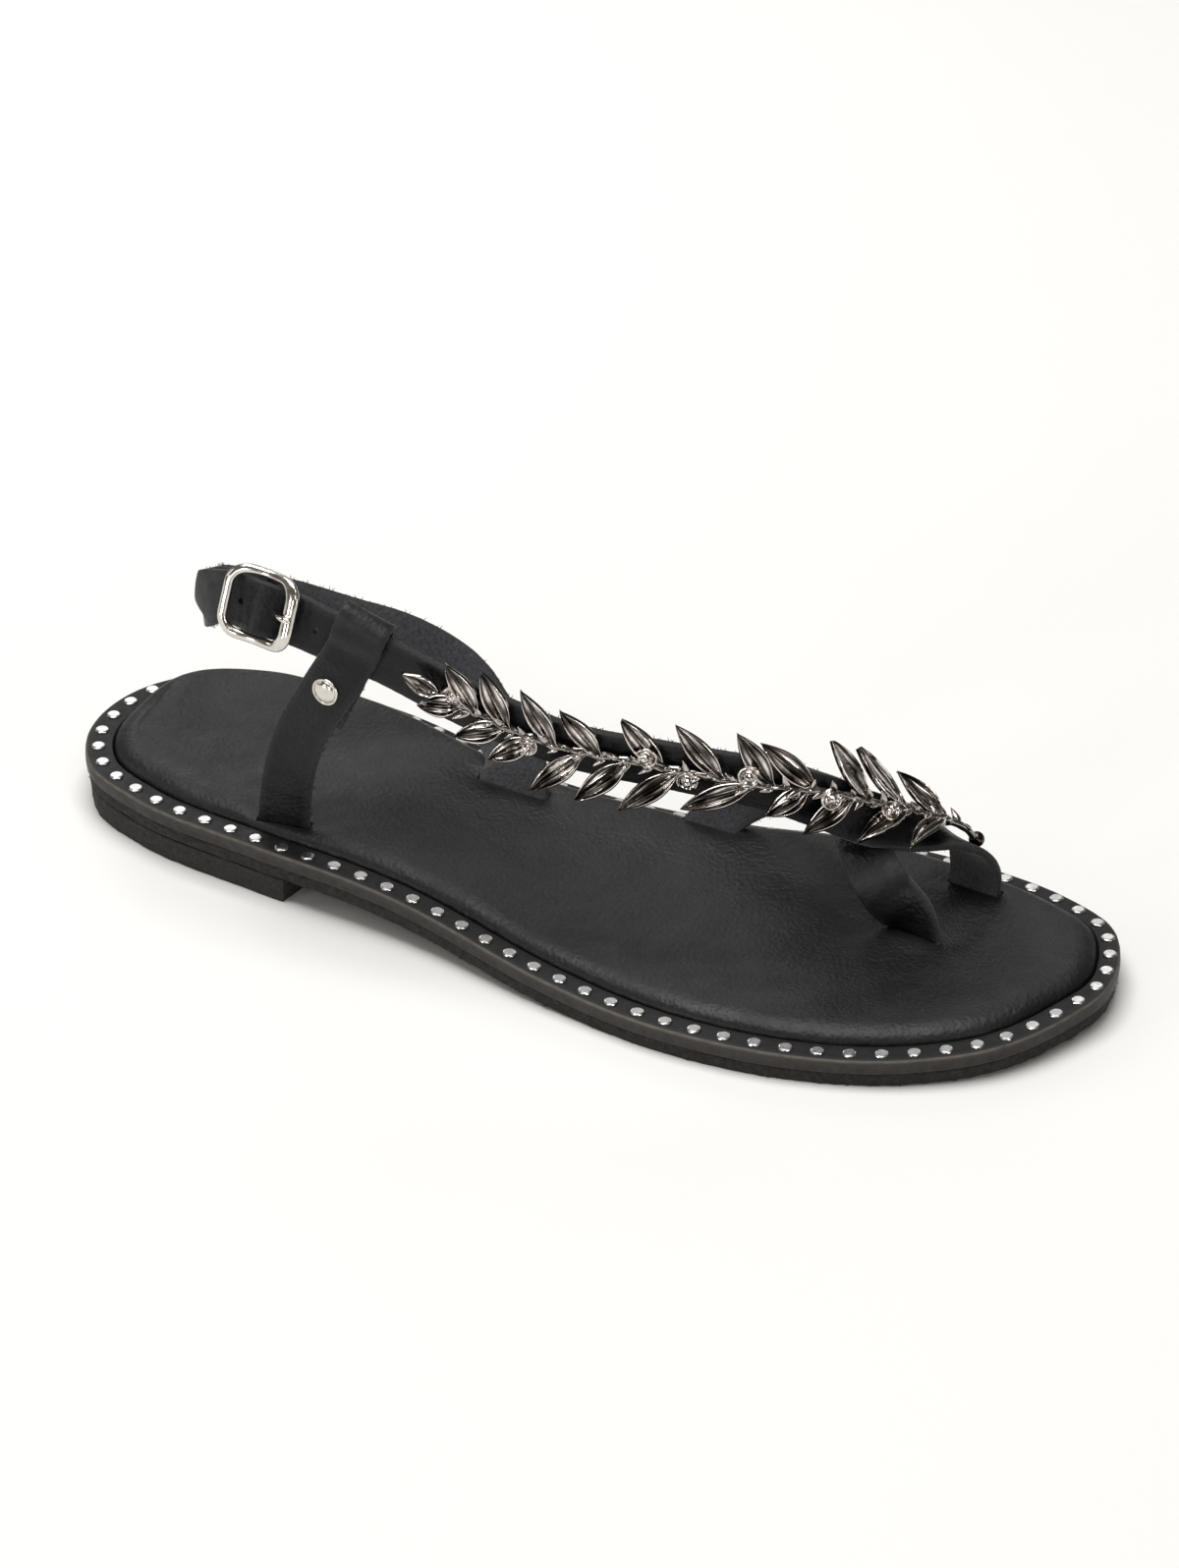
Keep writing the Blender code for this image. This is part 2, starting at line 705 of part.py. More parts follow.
def slit_cutter(line, at_end, width):
    """Clearance block round the end of a strap that is tucked into the insole."""
    start = line.length - SLIT_REACH if at_end else 0.0
    along = line.spaced(start, start + SLIT_REACH)
    points, run, across, out = line.frame(along)
    tip = -1 if at_end else 0
    points[tip] += GAP * run[tip] * (1 if at_end else -1)
    widths = np.full(len(along), width + 2 * SLIT_GAP)
    thicks = np.full(len(along), STRAP_THICK + 2 * SLIT_GAP)
    return strip("slit", points, across, widths, thicks, "strap leather")


# Hardware

def through_hole(centre, axis, radius, reach):
    profile = [(0.0, -reach), (radius, -reach), (radius, reach), (0.0, reach)]
    return turned("hole", profile, centre, axis, "nickel", HOLE_SIDES)


def rivet(name, centre, axis, front, back, rise):
    """Tubular rivet through leather that lies between the front and back depths."""
    top = front + GAP
    under = back - GAP
    low = under - BACK_THICK
    cap = [(CAP_RADIUS * wide, top + rise * high) for wide, high in CAP_PROFILE]
    profile = [(0.0, top + rise), *cap, (SHANK_RADIUS, top), (SHANK_RADIUS, under), (BACK_RADIUS, under),
               (BACK_RADIUS - BACK_TAPER, low), (SHANK_RADIUS, low), (SHANK_BORE, under), (0.0, under)]
    turned(name, profile, centre, axis, "nickel")


def make_buckle(line):
    """Bowed rectangular frame with its centre bar, and the prong hooked on the bar."""
    bar = line.distance("buckle")
    centre, run, across, out = line.at(bar)
    half_length = BUCKLE_LENGTH / 2 - BUCKLE_WIRE
    half_width = BUCKLE_WIDTH / 2 - BUCKLE_WIRE
    loop = []
    for turn, (sx, sy) in enumerate(((1, 1), (-1, 1), (-1, -1), (1, -1))):
        for step in range(CORNER_STEPS + 1):
            a = math.radians(90 * (turn + step / CORNER_STEPS))
            loop.append((sx * (half_length - BUCKLE_CORNER) + BUCKLE_CORNER * math.cos(a),
                         sy * (half_width - BUCKLE_CORNER) + BUCKLE_CORNER * math.sin(a)))
        if sx == sy:
            loop.append((0.0, sy * half_width))
    bow = BUCKLE_END_DEPTH - BUCKLE_SIDE_DEPTH
    path = np.array([centre + run * u + across * v
                     + out * (BUCKLE_END_DEPTH - bow * (1 - (u / half_length)**2)) for u, v in loop])
    facing = np.tile(out, (len(path), 1))
    frame = rod("buckle_frame", path, facing, BUCKLE_WIRE, FRAME_SIDES, "nickel", closed=True)
    ends = np.array([centre + out * BUCKLE_BAR_DEPTH + across * half_width * s for s in (-1, 1)])
    bar_wire = rod("bar", ends, np.tile(run, (2, 1)), BUCKLE_BAR_RADIUS, BAR_SIDES, "nickel")
    combine(frame, bar_wire, "UNION")


def prong_path(line, longer=0.0):
    """Prong centre line, lengthened at both ends to make its clearance."""
    bar = line.distance("buckle")
    rows = np.array(PRONG_PATH)
    rows[0] += longer * unit(rows[0] - rows[1])
    rows[-1] += longer * unit(rows[-1] - rows[-2])
    knots = chord_knots(rows)
    steps = curve_at(knots, rows, np.linspace(0.0, knots[-1], PRONG_STEPS))
    point, run, across, out = line.at(bar)
    return np.array([point + run * u + out * d for u, d in steps]), np.tile(across, (len(steps), 1))


# Leaf spray

def stem_points(line, along):
    """Stem centre line on the grain side of the strap, with the strap's directions."""
    rows = np.array(STEM_SWAY)
    points, run, across, out = line.frame(along)
    sway = curve_at(rows[:, 0], rows[:, 1:], np.atleast_1d(np.asarray(along, dtype=float)))
    depth = STRAP_THICK / 2 + GAP + STEM_RADIUS + sway[:, 1:]
    return points + across * sway[:, :1] + out * depth, run, across, out


def leaf(base, along, across, out, row):
    """One cast leaf with a raised middle, its tip swung from the stem and lifted off the strap."""
    length, swing, lift = row[1], math.radians(row[2]), math.radians(row[3])
    flat = along * math.cos(swing) + across * math.sin(swing)
    side = across * math.cos(swing) - along * math.sin(swing)
    tip = flat * math.cos(lift) + out * math.sin(lift)
    up = out * math.cos(lift) - flat * math.sin(lift)
    sections = []
    for share, wide in LEAF_STATIONS:
        centre = base + tip * length * share
        half = side * LEAF_WIDTH * wide / 2
        crown = up * LEAF_THICK * (1 + wide) / 2
        sections.append([centre + half, centre + crown, centre - half, centre - crown * LEAF_UNDER])
    return lofted("leaf", sections, "gunmetal")


def ball(centre, axis, radius):
    arc = [math.radians(a) for a in (45, 90, 135)]
    rings = [(radius * math.sin(a), radius * math.cos(a)) for a in arc]
    return turned("ball", [(0.0, radius), *rings, (0.0, -radius)], centre, axis, "gunmetal", BALL_SIDES)


def make_spray(line):
    ends = STEM_SWAY[0][0], STEM_SWAY[-1][0]
    stem, run, across, out = stem_points(line, line.spaced(*ends))
    spray = rod("leaf_spray", stem, across, STEM_RADIUS, STEM_SIDES, "gunmetal")
    combine(spray, ball(stem[0] + out[0] * (END_BEAD_RADIUS - STEM_RADIUS), out[0], END_BEAD_RADIUS), "UNION")
    for side, rows in ((1, UPPER_LEAVES), (-1, LOWER_LEAVES)):
        for row in rows:
            base, run, across, out = (values[0] for values in stem_points(line, row[0]))
            combine(spray, leaf(base, run, across * side, out, row), "UNION")
    for along, beside in BERRIES:
        base, run, across, out = (values[0] for values in stem_points(line, along))
        combine(spray, ball(base + across * beside + out * BERRY_LIFT, out, BERRY_RADIUS), "UNION")


def make_spray_rivets(line, upper):
    """Short rivets that hold the spray; their heads show on the flesh side."""
    top = STRAP_THICK / 2
    under = -top - GAP
    profile = [(0.0, top), (SHANK_RADIUS, top), (SHANK_RADIUS, under), (SPRAY_RIVET_RADIUS, under),
               (SPRAY_RIVET_RADIUS - BACK_TAPER, under - BACK_THICK), (0.0, under - BACK_THICK)]
    for number, along in enumerate(SPRAY_RIVET_PLACES, start=1):
        stem, run, across, out = (values[0] for values in stem_points(line, along))
        centre = stem - out * np.dot(stem - next(line.at(along)), out)
        combine(upper, through_hole(centre, out, SHANK_RADIUS + GAP, STRAP_THICK), "DIFFERENCE")
        turned(f"spray_rivet_{number}", profile, centre, out, "nickel", HOLE_SIDES)


def make_straps_and_hardware(insole):
    long_line = StrapLine(STRAP_LINE)
    band_line = StrapLine(TOE_BAND)
    upright_line = StrapLine(UPRIGHT)
    upper = make_long_strap(long_line)
    combine(upper, make_band(band_line, "band", SAMPLE_STEP), "UNION")
    combine(upper, make_band(upright_line, "upright", FOLD_STEP), "UNION")
    heel_strap = make_heel_strap(long_line)
    for line, at_end, width in ((long_line, False, STRAP_WIDTH), (long_line, True, HEEL_FOOT_WIDTH),
                                (band_line, False, STRAP_WIDTH), (band_line, True, STRAP_WIDTH),
                                (upright_line, False, STRAP_WIDTH)):
        combine(insole, slit_cutter(line, at_end, width), "DIFFERENCE")

    make_buckle(long_line)
    path, across = prong_path(long_line)
    rod("buckle_prong", path, across, PRONG_RADIUS, FRAME_SIDES, "nickel")
    path, across = prong_path(long_line, GAP)
    for strap in (upper, heel_strap):
        combine(strap, rod("clear", path, across, PRONG_RADIUS + GAP, BAR_SIDES, "nickel"), "DIFFERENCE")

    bar = long_line.distance("buckle")
    for past in STRAP_HOLES_PAST:
        point, run, across, out = long_line.at(bar + past)
        centre = point + out * woven(np.array([past]))[0]
        combine(upper, through_hole(centre, out, STRAP_HOLE_RADIUS, STRAP_THICK), "DIFFERENCE")

    point, run, across, out = upright_line.at(upright_line.distance(RIVET_PLACE))
    combine(upper, through_hole(point, out, SHANK_RADIUS + GAP, 2 * STRAP_THICK), "DIFFERENCE")
    rivet("upright_rivet", point, out, STRAP_THICK / 2, UPRIGHT_RIVET_BACK, CAP_RISE)

    point, run, across, out = long_line.at(bar + HEEL_RIVET_PAST)
    combine(heel_strap, through_hole(point, out, SHANK_RADIUS + GAP, 3 * STRAP_THICK), "DIFFERENCE")
    rivet("heel_strap_rivet", point, out, HEEL_RIVET_FRONT, HEEL_RIVET_BACK, LOW_HEAD_RISE)

    make_spray(long_line)
    make_spray_rivets(long_line, upper)


make_outsole()
make_heel()
make_welt()
make_straps_and_hardware(make_insole())
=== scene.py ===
"""Looks of a right-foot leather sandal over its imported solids.

Tables are in millimetres in the solids' own frame: +X to the toe, +Y to the medial side, +Z up.
"""
import math

import bmesh
import bpy
import numpy as np
from mathutils import Matrix, Vector, noise


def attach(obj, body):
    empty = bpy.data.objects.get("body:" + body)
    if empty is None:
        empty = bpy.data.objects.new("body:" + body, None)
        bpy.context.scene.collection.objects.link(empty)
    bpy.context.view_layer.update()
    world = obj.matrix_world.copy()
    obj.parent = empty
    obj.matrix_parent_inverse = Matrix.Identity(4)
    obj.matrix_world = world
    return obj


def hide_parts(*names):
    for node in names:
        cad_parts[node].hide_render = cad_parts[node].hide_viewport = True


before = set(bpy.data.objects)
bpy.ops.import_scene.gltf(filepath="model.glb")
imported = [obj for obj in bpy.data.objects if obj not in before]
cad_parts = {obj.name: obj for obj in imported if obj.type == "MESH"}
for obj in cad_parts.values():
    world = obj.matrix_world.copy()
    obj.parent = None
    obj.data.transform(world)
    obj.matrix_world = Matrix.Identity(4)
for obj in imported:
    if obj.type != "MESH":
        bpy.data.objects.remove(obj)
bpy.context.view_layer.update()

# Sole and strap sizes, as the solids have them
MM = 0.001
GAP = 0.3
SOLE_LENGTH = 259.0
HEEL_HEIGHT = 6.5
HEEL_BREAST_LATERAL = 71.0
HEEL_BREAST_MEDIAL = 79.0
HEEL_INSET = 0.9
HEEL_TAPER = 0.5
ARCH_START = 74.0
ARCH_END = 165.0
TOE_SPRING = 2.0
TOE_SPRING_START = 215.0
OUTSOLE_THICK = 3.2
OUTSOLE_INSET = 0.7
WELT_THICK = 3.5
WELT_WIDTH = 6.6
WELT_WIDTH_MEDIAL = 5.0
WELT_BASE = OUTSOLE_THICK + GAP
WELT_TOP = WELT_BASE + WELT_THICK
MEDIAL_SIDE = 20.0
INSOLE_CROWN = 3.0
INSOLE_MEDIAL_RISE = 2.5
INSOLE_HEEL_RISE = 1.2
INSOLE_ROUND = 5.2
INSOLE_DISH = 1.4
HEEL_CUP_START = 55.0
HEEL_CUP_END = 105.0
MEDIAL_RISE_START = 175.0
MEDIAL_RISE_END = 235.0
STRAP_WIDTH = 12.6
STRAP_THICK = 2.0
HEEL_STRAP_THICK = 1.8
HEEL_FOOT_WIDTH = 17.0
HEEL_FOOT_START = 16.0
HEEL_FOOT_END = 5.0

# Reach of the footbed's dish from its edge, and slits that are shallower and closer than the solids' pockets
DISH_REACH = 22.0
SLIT_REACH = 8.0
SLIT_GAP = 0.45

# How finely the curves are read
OUTLINE_STEPS = 16
HEEL_BREAST_STEPS = 24
ROLL_STEPS = 15
FOOTBED_COLUMNS = 40
SLIT_READS = 60
SLIT_STEP = 1.5
STRAP_STEP = 0.8
FOLD_STEP = 0.4
STEM_STEP = 0.5

# Welt outline: distance from the heel back, then the lateral and medial edge beside the axis
SOLE_STATIONS = [
    # along, lateral, medial
    (0.0, 0.0, 0.0),
    (2.2, -12.0, 12.2),
    (10.0, -23.4, 23.9),
    (28.0, -31.6, 33.5),
    (60.0, -35.7, 33.8),
    (105.0, -38.5, 27.1),
    (145.0, -45.6, 35.2),
    (180.0, -48.6, 45.9),
    (208.0, -44.3, 48.6),
    (232.0, -33.6, 45.6),
    (248.0, -19.7, 37.8),
    (256.4, -2.0, 24.0),
    (259.0, 11.0, 11.0),
]
WELT_JOINT_STATION = 3

# Soft troughs and ridges pressed into the footbed by the last and by the pull of the straps
FOOTBED_TROUGHS = [
    # place, x, y, turn, half length, half width, depth
    ("heel hollow", -88.0, 0.0, 0, 22.0, 17.0, 0.55),
    ("waist roll", -20.0, -6.0, 8, 30.0, 9.0, -0.30),
    ("ball hollow", 46.0, -14.0, 20, 26.0, 20.0, 0.45),
    ("toe hollow", 92.0, 6.0, 60, 18.0, 11.0, 0.35),
    ("upright pull front", -54.0, -21.5, 32, 8.0, 1.5, 0.30),
    ("upright pull back", -75.0, -22.0, -26, 7.0, 1.5, 0.26),
    ("medial pull front", -18.5, 14.0, 24, 7.0, 1.6, 0.28),
    ("toe gap pull", 85.0, 6.0, 64, 7.0, 1.8, 0.24),
    ("toe side pull", 90.0, 30.5, -30, 6.0, 1.5, 0.22),
]
SLIT_DIMPLE_DEPTH = 0.85
SLIT_DIMPLE_WIDTH = 3.2
FOOTBED_WAVE = 0.10
FOOTBED_WAVE_WIDTH = 16.0

# The footbed's wall stands straight, leans in a little and starts its roll at this angle
WALL_STRAIGHT = 0.6
WALL_LEAN = 0.05
ROLL_START = 8

# Patch widths of the buffed heel and the hand-cut welt edge
HEEL_GRIT = 1.3
WELT_GRIT = 2.6

# Centre line of the long strap from the toe over the instep, through keeper and buckle, round the heel.
# The grain side faces the compass angle (0 toe, 90 medial, -90 lateral) and the angle above level.
STRAP_LINE = [
    # place, x, y, z, facing, rise
    ("toe slit", 84.2, 35.2, 8.0, 92, 0),
    ("toe leg", 84.0, 35.6, 15.0, 88, 2),
    ("toe bend", 81.8, 34.4, 20.6, 72, 30),
    ("over toe band", 76.6, 30.0, 25.2, 40, 40),
    ("crossing", 71.0, 23.6, 28.8, 8, 38),
    ("rising", 65.4, 15.6, 33.8, -20, 28),
    ("instep front", 59.2, 6.6, 41.0, -40, 14),
    ("instep low", 51.2, -1.0, 46.6, -56, 4),
    ("instep", 31.0, -9.8, 50.4, -71, -4),
    ("instep back", 5.5, -18.6, 54.0, -79, -8),
    ("side front", -15.0, -23.4, 60.2, -84, -2),
    ("keeper", -39.5, -25.6, 67.6, -89, 0),
    ("before buckle", -54.0, -28.0, 71.8, -89, 8),
    ("buckle", -66.6, -29.6, 75.2, -88, 19),
    ("tail", -80.0, -27.4, 73.2, -104, 14),
    ("heel side", -87.6, -21.0, 66.4, -130, 4),
    ("heel back", -92.6, -9.4, 60.0, -163, -8),
    ("heel turn", -92.0, 2.8, 54.0, 166, -18),
    ("heel inner", -85.6, 11.0, 49.0, 138, -28),
    ("medial high", -73.5, 18.6, 43.6, 116, -34),
    ("medial", -60.0, 23.8, 39.6, 105, -34),
    ("medial low", -46.5, 25.6, 33.4, 92, -34),
    ("medial foot", -35.5, 21.6, 26.2, 80, -34),
    ("medial stem", -26.6, 14.8, 21.2, 90, -30),
    ("heel slit", -25.0, 12.2, 13.8, 98, -16),
]
TOE_BAND = [
    # place, x, y, z, facing, rise
    ("ball slit", 18.5, 24.6, 8.0, 95, -20),
    ("ball leg", 21.0, 27.4, 14.0, 95, -18),
    ("medial run", 28.0, 30.4, 20.8, 92, -4),
    ("medial", 40.0, 31.0, 25.6, 88, 6),
    ("toe side", 50.4, 27.8, 28.2, 76, 24),
    ("under strap", 59.4, 20.4, 28.8, 60, 62),
    ("over toe", 65.6, 14.4, 27.2, -40, 80),
    ("toe fold", 70.2, 11.2, 23.0, -48, 46),
    ("gap fall", 74.2, 11.6, 17.6, -62, 16),
    ("gap leg", 79.0, 13.0, 12.4, -90, 6),
    ("gap slit", 80.6, 13.6, 6.6, -98, 0),
]
UPRIGHT = [
    # place, x, y, z, facing, rise
    ("side slit", -65.2, -25.2, 12.4, -82, 0),
    ("foot", -64.7, -25.4, 20.0, -85, 2),
    ("shin", -60.6, -26.6, 38.0, -92, 2),
    ("rivet", -50.6, -28.5, 57.0, -92, 0),
    ("keeper foot", -46.6, -28.3, 64.0, -82, 0),
    ("keeper outside", -44.2, -28.0, 68.6, -82, -6),
    ("keeper high", -42.5, -28.9, 72.6, -82, 0),
    ("keeper shoulder", -41.4, -28.4, 75.7, -68, 38),
    ("keeper top", -41.3, -26.1, 77.3, 4, 66),
    ("inside shoulder", -41.9, -23.8, 75.9, 84, 38),
    ("inside high", -42.9, -23.6, 73.0, 98, 0),
    ("keeper inside", -44.7, -24.6, 68.6, 98, 4),
    ("inside foot", -47.3, -25.2, 64.1, 99, 0),
    ("inner leg", -50.0, -25.6, 57.8, 92, -2),
    ("inner end", -54.8, -24.9, 48.0, 90, 2),
]

# Soft creases across the straps, where they bend or are pulled: a negative depth is a ridge
LONG_STRAP_CREASES = [
    # along, depth, half width, lean
    (16.0, 0.22, 1.5, 0.15),
    (20.5, -0.16, 1.8, 0.15),
    (43.0, 0.20, 1.6, -0.25),
    (52.0, 0.16, 1.4, -0.20),
    (150.0, 0.12, 2.2, 0.10),
    (174.0, 0.14, 1.8, -0.05),
    (205.0, 0.20, 1.4, 0.0),
]
TOE_BAND_CREASES = [
    # along, depth, half width, lean
    (7.5, 0.18, 1.5, 0.2),
    (30.0, 0.15, 2.6, 0.1),
    (61.5, 0.20, 1.5, -0.15),
    (66.0, -0.14, 1.7, -0.15),
    (72.0, 0.18, 1.6, 0.1),
]
UPRIGHT_CREASES = [
    # along, depth, half width, lean
    (9.5, 0.12, 2.6, 0.05),
    (15.5, 0.06, 2.2, -0.05),
    (52.5, 0.12, 1.6, 0.0),
]
HEEL_STRAP_CREASES = [
    # along, depth, half width, lean
    (58.0, 0.14, 2.4, 0.1),
    (78.0, 0.16, 2.0, -0.1),
    (96.0, -0.10, 2.6, 0.1),
    (140.0, 0.18, 1.8, 0.2),
    (166.0, 0.18, 1.5, 0.2),
]

# Where the grain is paler: rubbed wear on the long strap's tail, and a painted sheen on the bend over the toe
# and on the top of the keeper fold
LONG_STRAP_RUBS = [
    # along, amount, half width
    (211.0, 1.6, 8.0),
]
# Painted sheen where the toe band bends over the toe
TOE_BAND_PAINTED_SHEEN = [
    # along, amount, half width
    (70.5, 1.5, 3.2),
    (78.0, 0.2, 2.4),
]
# Painted sheen on the top of the keeper fold
UPRIGHT_PAINTED_SHEEN = [
    # along, amount, half width
    (64.0, 0.3, 3.0),
    (70.0, 0.8, 3.0),
]

# The straps' weave through the buckle: distance past the centre bar, depth outside the strap line, thickness
LONG_WEAVE = [
    # past, depth
    (-24.0, 0.0),
    (-16.0, 0.0),
    (-9.4, 0.0),
    (-7.0, 0.3),
    (-3.5, 1.9),
    (0.0, 3.2),
    (3.5, 2.1),
    (6.0, 0.95),
    (8.4, 0.7),
    (10.9, 1.9),
    (14.4, 2.4),
    (19.4, 2.6),
]
TAIL_POINT = 4.0
TAIL_TIP_SHARE = 0.25
HEEL_WEAVE = [
    # past, depth, thick
    (18.0, -3.4, 1.4),
    (15.5, -3.5, 1.6),
    (10.5, -3.6, 1.6),
    (7.6, -3.8, 1.6),
    (3.6, -2.7, 1.3),
    (0.4, -1.6, 1.0),
    (-1.4, -1.0, 1.0),
    (-1.9, 0.0, 1.0),
    (-1.3, 1.1, 1.0),
    (0.2, 1.4, 1.0),
    (3.6, -0.1, 1.2),
    (7.6, -1.6, 1.6),
    (10.5, -1.4, 1.6),
    (15.5, -1.2, 1.7),
    (20.0, -0.5, 1.8),
    (26.0, 0.0, 1.8),
]
HEEL_FOLD_STEPS = 110
HEEL_RIVET_PAST = 14.2
HEEL_RIVET_FRONT = -0.3
HEEL_RIVET_BACK = -5.0
HEEL_RIVET_RISE = 0.6

# Buckle and rivets
BUCKLE_LENGTH = 19.0
BUCKLE_WIDTH = 18.0
BUCKLE_CORNER = 4.2
BUCKLE_CORNER_STEPS = 9
BUCKLE_SIDE_STEPS = 8
BUCKLE_WIRE = 1.1
BUCKLE_WIRE_DEEP = 0.92
BUCKLE_WIRE_BROAD = 1.08
BUCKLE_SWELL = 0.45
BUCKLE_SWELL_START = 0.55
BUCKLE_SWELL_RUN = 0.4
BUCKLE_END_DEPTH = 3.4
BUCKLE_SIDE_DEPTH = 1.5
BUCKLE_BAR_RADIUS = 0.75
PRONG_RADIUS = 0.65
PRONG_BROAD = 1.1
PRONG_TIP = 0.35
PRONG_POINT = 1.2
PRONG_PATH = [
    # past, depth
    (1.6, 0.35),
    (0.9, -1.35),
    (-0.9, -1.35),
    (-1.75, 0.0),
    (-2.6, 0.9),
    (-4.6, 2.9),
    (-7.0, 4.9),
    (-8.6, 5.4),
    (-10.0, 5.1),
]
PRONG_STEPS = 60
STRAP_HOLE_RADIUS = 1.0
STRAP_HOLES_PAST = [-13.5, 4.6]
CAP_RADIUS = 3.5
CAP_RISE = 1.5
CAP_SEAT = 0.1
CAP_RIM = [
    # inside the cap's radius, height above its seat
    (0.62, 0.2),
    (0.45, 0.46),
    (0.2, 0.5),
    (0.04, 0.32),
    (0.0, 0.1),
    (0.05, -0.1),
]
DOME_INSET = 0.75
DOME_RISE_SHARE = 0.62
DOME_SEAT = 0.22
SHANK_RADIUS = 1.2
BACK_RADIUS = 2.9
RIVET_BACK = [
    # radius, depth behind the leather
    (BACK_RADIUS, 0.0),
    (BACK_RADIUS, 0.3),
    (BACK_RADIUS - 0.35, 0.62),
    (BACK_RADIUS - 0.9, 0.55),
    (1.55, 0.35),
    (1.3, 0.75),
    (1.0, 0.8),
    (0.8, 0.5),
    (0.75, -1.2),
    (0.0, -1.2),
]
UPRIGHT_RIVET_BACK = -4.1
SPRAY_RIVET_RADIUS = 2.0
SPRAY_RIVET_HEAD = [
    # radius, depth behind the leather
    (SPRAY_RIVET_RADIUS, 0.0),
    (SPRAY_RIVET_RADIUS, 0.25),
    (SPRAY_RIVET_RADIUS - 0.25, 0.5),
    (SPRAY_RIVET_RADIUS - 0.8, 0.72),
    (0.55, 0.8),
    (0.4, 0.62),
    (0.0, 0.6),
]
SPRAY_RIVET_PLACES = [28.0, 58.0, 88.0, 122.0]

# Cast spray: a stem that sways across the strap, leaves with their tips to the heel, berries beside it.
# The stem swells to a knuckle a little past each leaf's foot.
STEM_RADIUS = 1.2
STEM_THIN = 0.74
STEM_UNEVEN = 0.16
STEM_UNEVEN_WIDTH = 1.6
KNUCKLE_SWELL = 0.36
KNUCKLE_MOST = 1.2
KNUCKLE_PAST = 0.8
KNUCKLE_WIDTH = 1.3
STEM_SWAY = [
    # along, across, lift
    (11.4, 1.2, 0.9),
    (20.0, 0.6, 0.9),
    (31.0, 2.6, 0.5),
    (45.0, 3.2, 0.3),
    (58.0, 2.8, 0.2),
    (70.0, 0.8, 0.0),
    (90.0, 1.0, 0.0),
    (107.0, 1.4, 0.0),
    (125.0, 0.6, 0.0),
    (147.0, 1.0, 0.0),
]
END_BEAD_RADIUS = 1.9
BERRY_RADIUS = 1.8
BERRY_LIFT = 0.6
BERRY_PROFILE = [
    # radius and height, as shares of the berry's radius: the berry, then its turned-over collar
    (0.0, 1.05),
    (0.3, 0.99),
    (0.55, 0.75),
    (0.64, 0.4),
    (0.72, 0.3),
    (0.86, 0.42),
    (1.0, 0.5),
    (1.14, 0.3),
    (1.08, -0.1),
    (0.8, -0.6),
    (0.0, -0.9),
]
BERRIES = [
    # along, beside the stem
    (37.0, -1.0),
    (55.0, -1.4),
    (74.0, 2.4),
    (87.0, -2.0),
    (97.0, 2.4),
    (124.0, -2.2),
    (143.0, 1.8),
]
LEAF_WIDTH = 5.7
LEAF_ROWS = 38
LEAF_COLUMNS = 33
LEAF_BACK_COLUMNS = 9
LEAF_BACK_SHARE = 0.93
LEAF_BACK_HOLLOW = 0.25
LEAF_BEND_START = 0.3
LEAF_THICK = 0.55
LEAF_RELIEF = [
    # form, height, place from the rib to the rim, half width
    ("rim", 0.90, 0.85, 0.14),
    ("rib", 0.55, 0.0, 0.10),
    ("hollow", -0.45, 0.42, 0.34),
]
LEAF_RIPPLE = 0.20
LEAF_RIPPLE_PLACE = 0.42
LEAF_RIPPLE_WIDTH = 0.30
LEAF_EDGE_FALL = 0.25
LEAF_STALK = 0.5
LEAF_STALK_SHARE = 0.14
# Painted highlights on the casting: pale lines along each leaf's rim and rib, broken streaks in the hollows,
# and how pale the stem, buds, berries and tendrils are painted
LEAF_PAINTED_LINES = [
    # line, brightness, place from the rib to the rim, half width
    ("rim", 2.6, 0.84, 0.08),
    ("rib", 1.6, 0.0, 0.07),
]
LEAF_PAINTED_STREAK = 2.0
LEAF_PAINTED_STREAK_PLACE = 0.44
LEAF_PAINTED_STREAK_WIDTH = 0.15
STEM_PAINTED_HIGHLIGHT = 0.5
BUD_PAINTED_HIGHLIGHT = 0.8
BERRY_PAINTED_HIGHLIGHT = 1.2
TENDRIL_PAINTED_HIGHLIGHT = 1.3
LEAF_CURLS = [
    # bend along the leaf, twist across it, start of the painted highlight streaks
    (-1.4, 0.45, 0.0),
    (1.2, -0.5, 1.1),
    (-0.6, -0.35, 2.2),
    (-7.0, 0.3, 0.6),
]
UPPER_ROLL = 6.0
LOWER_ROLL = 26.0
TOE_LEAF_ROLL = -42.0
TOE_LEAF_BEFORE = 26.0
DROOP_BEFORE = 35.0
BUD_PITCH = 2.7
BUD_START = 3.0
BUD_END = 2.0
BUD_LEAN = 28.0
BUD_LEAN_SPREAD = 26.0
BUD_RISE = 0.25
BUD_RISE_SPREAD = 0.3
BUD_SIZE = np.array([3.0, 1.5, 1.3])
BUD_SIZE_SPREAD = 0.5
BUD_LIFT = 0.35 * STEM_RADIUS
BUD_BESIDE = 0.3 * STEM_RADIUS
BUD_PROFILE = [
    # radius, distance along the bud
    (0.0, 1.0),
    (0.14, 0.86),
    (0.34, 0.6),
    (0.48, 0.34),
    (0.5, 0.16),
    (0.36, -0.04),
    (0.0, -0.14),
]
TENDRIL_RADIUS = 0.45
TENDRIL_END = 0.55
TENDRIL_REACH = 1.32 * BERRY_RADIUS
TENDRIL_LIFT = 0.3
TENDRIL_TURN = 70
TENDRIL_SWEEPS = [250, 270, 290]
TENDRIL_STEPS = 28
UPPER_LEAVES = [
    # along, length, swing, lift
    (20.4, 16.0, 32, 16),
    (32.0, 18.5, 40, 8),
    (43.8, 19.0, 29, 2),
    (59.0, 18.5, 18, 0),
    (68.5, 16.5, 40, 0),
    (79.0, 17.5, 46, 2),
    (92.5, 15.5, 41, 1),
    (107.0, 16.0, 51, 4),
    (117.5, 17.5, 50, 4),
    (129.0, 16.0, 51, 5),
    (136.5, 15.5, 42, 6),
    (146.0, 10.5, 18, 16),
]
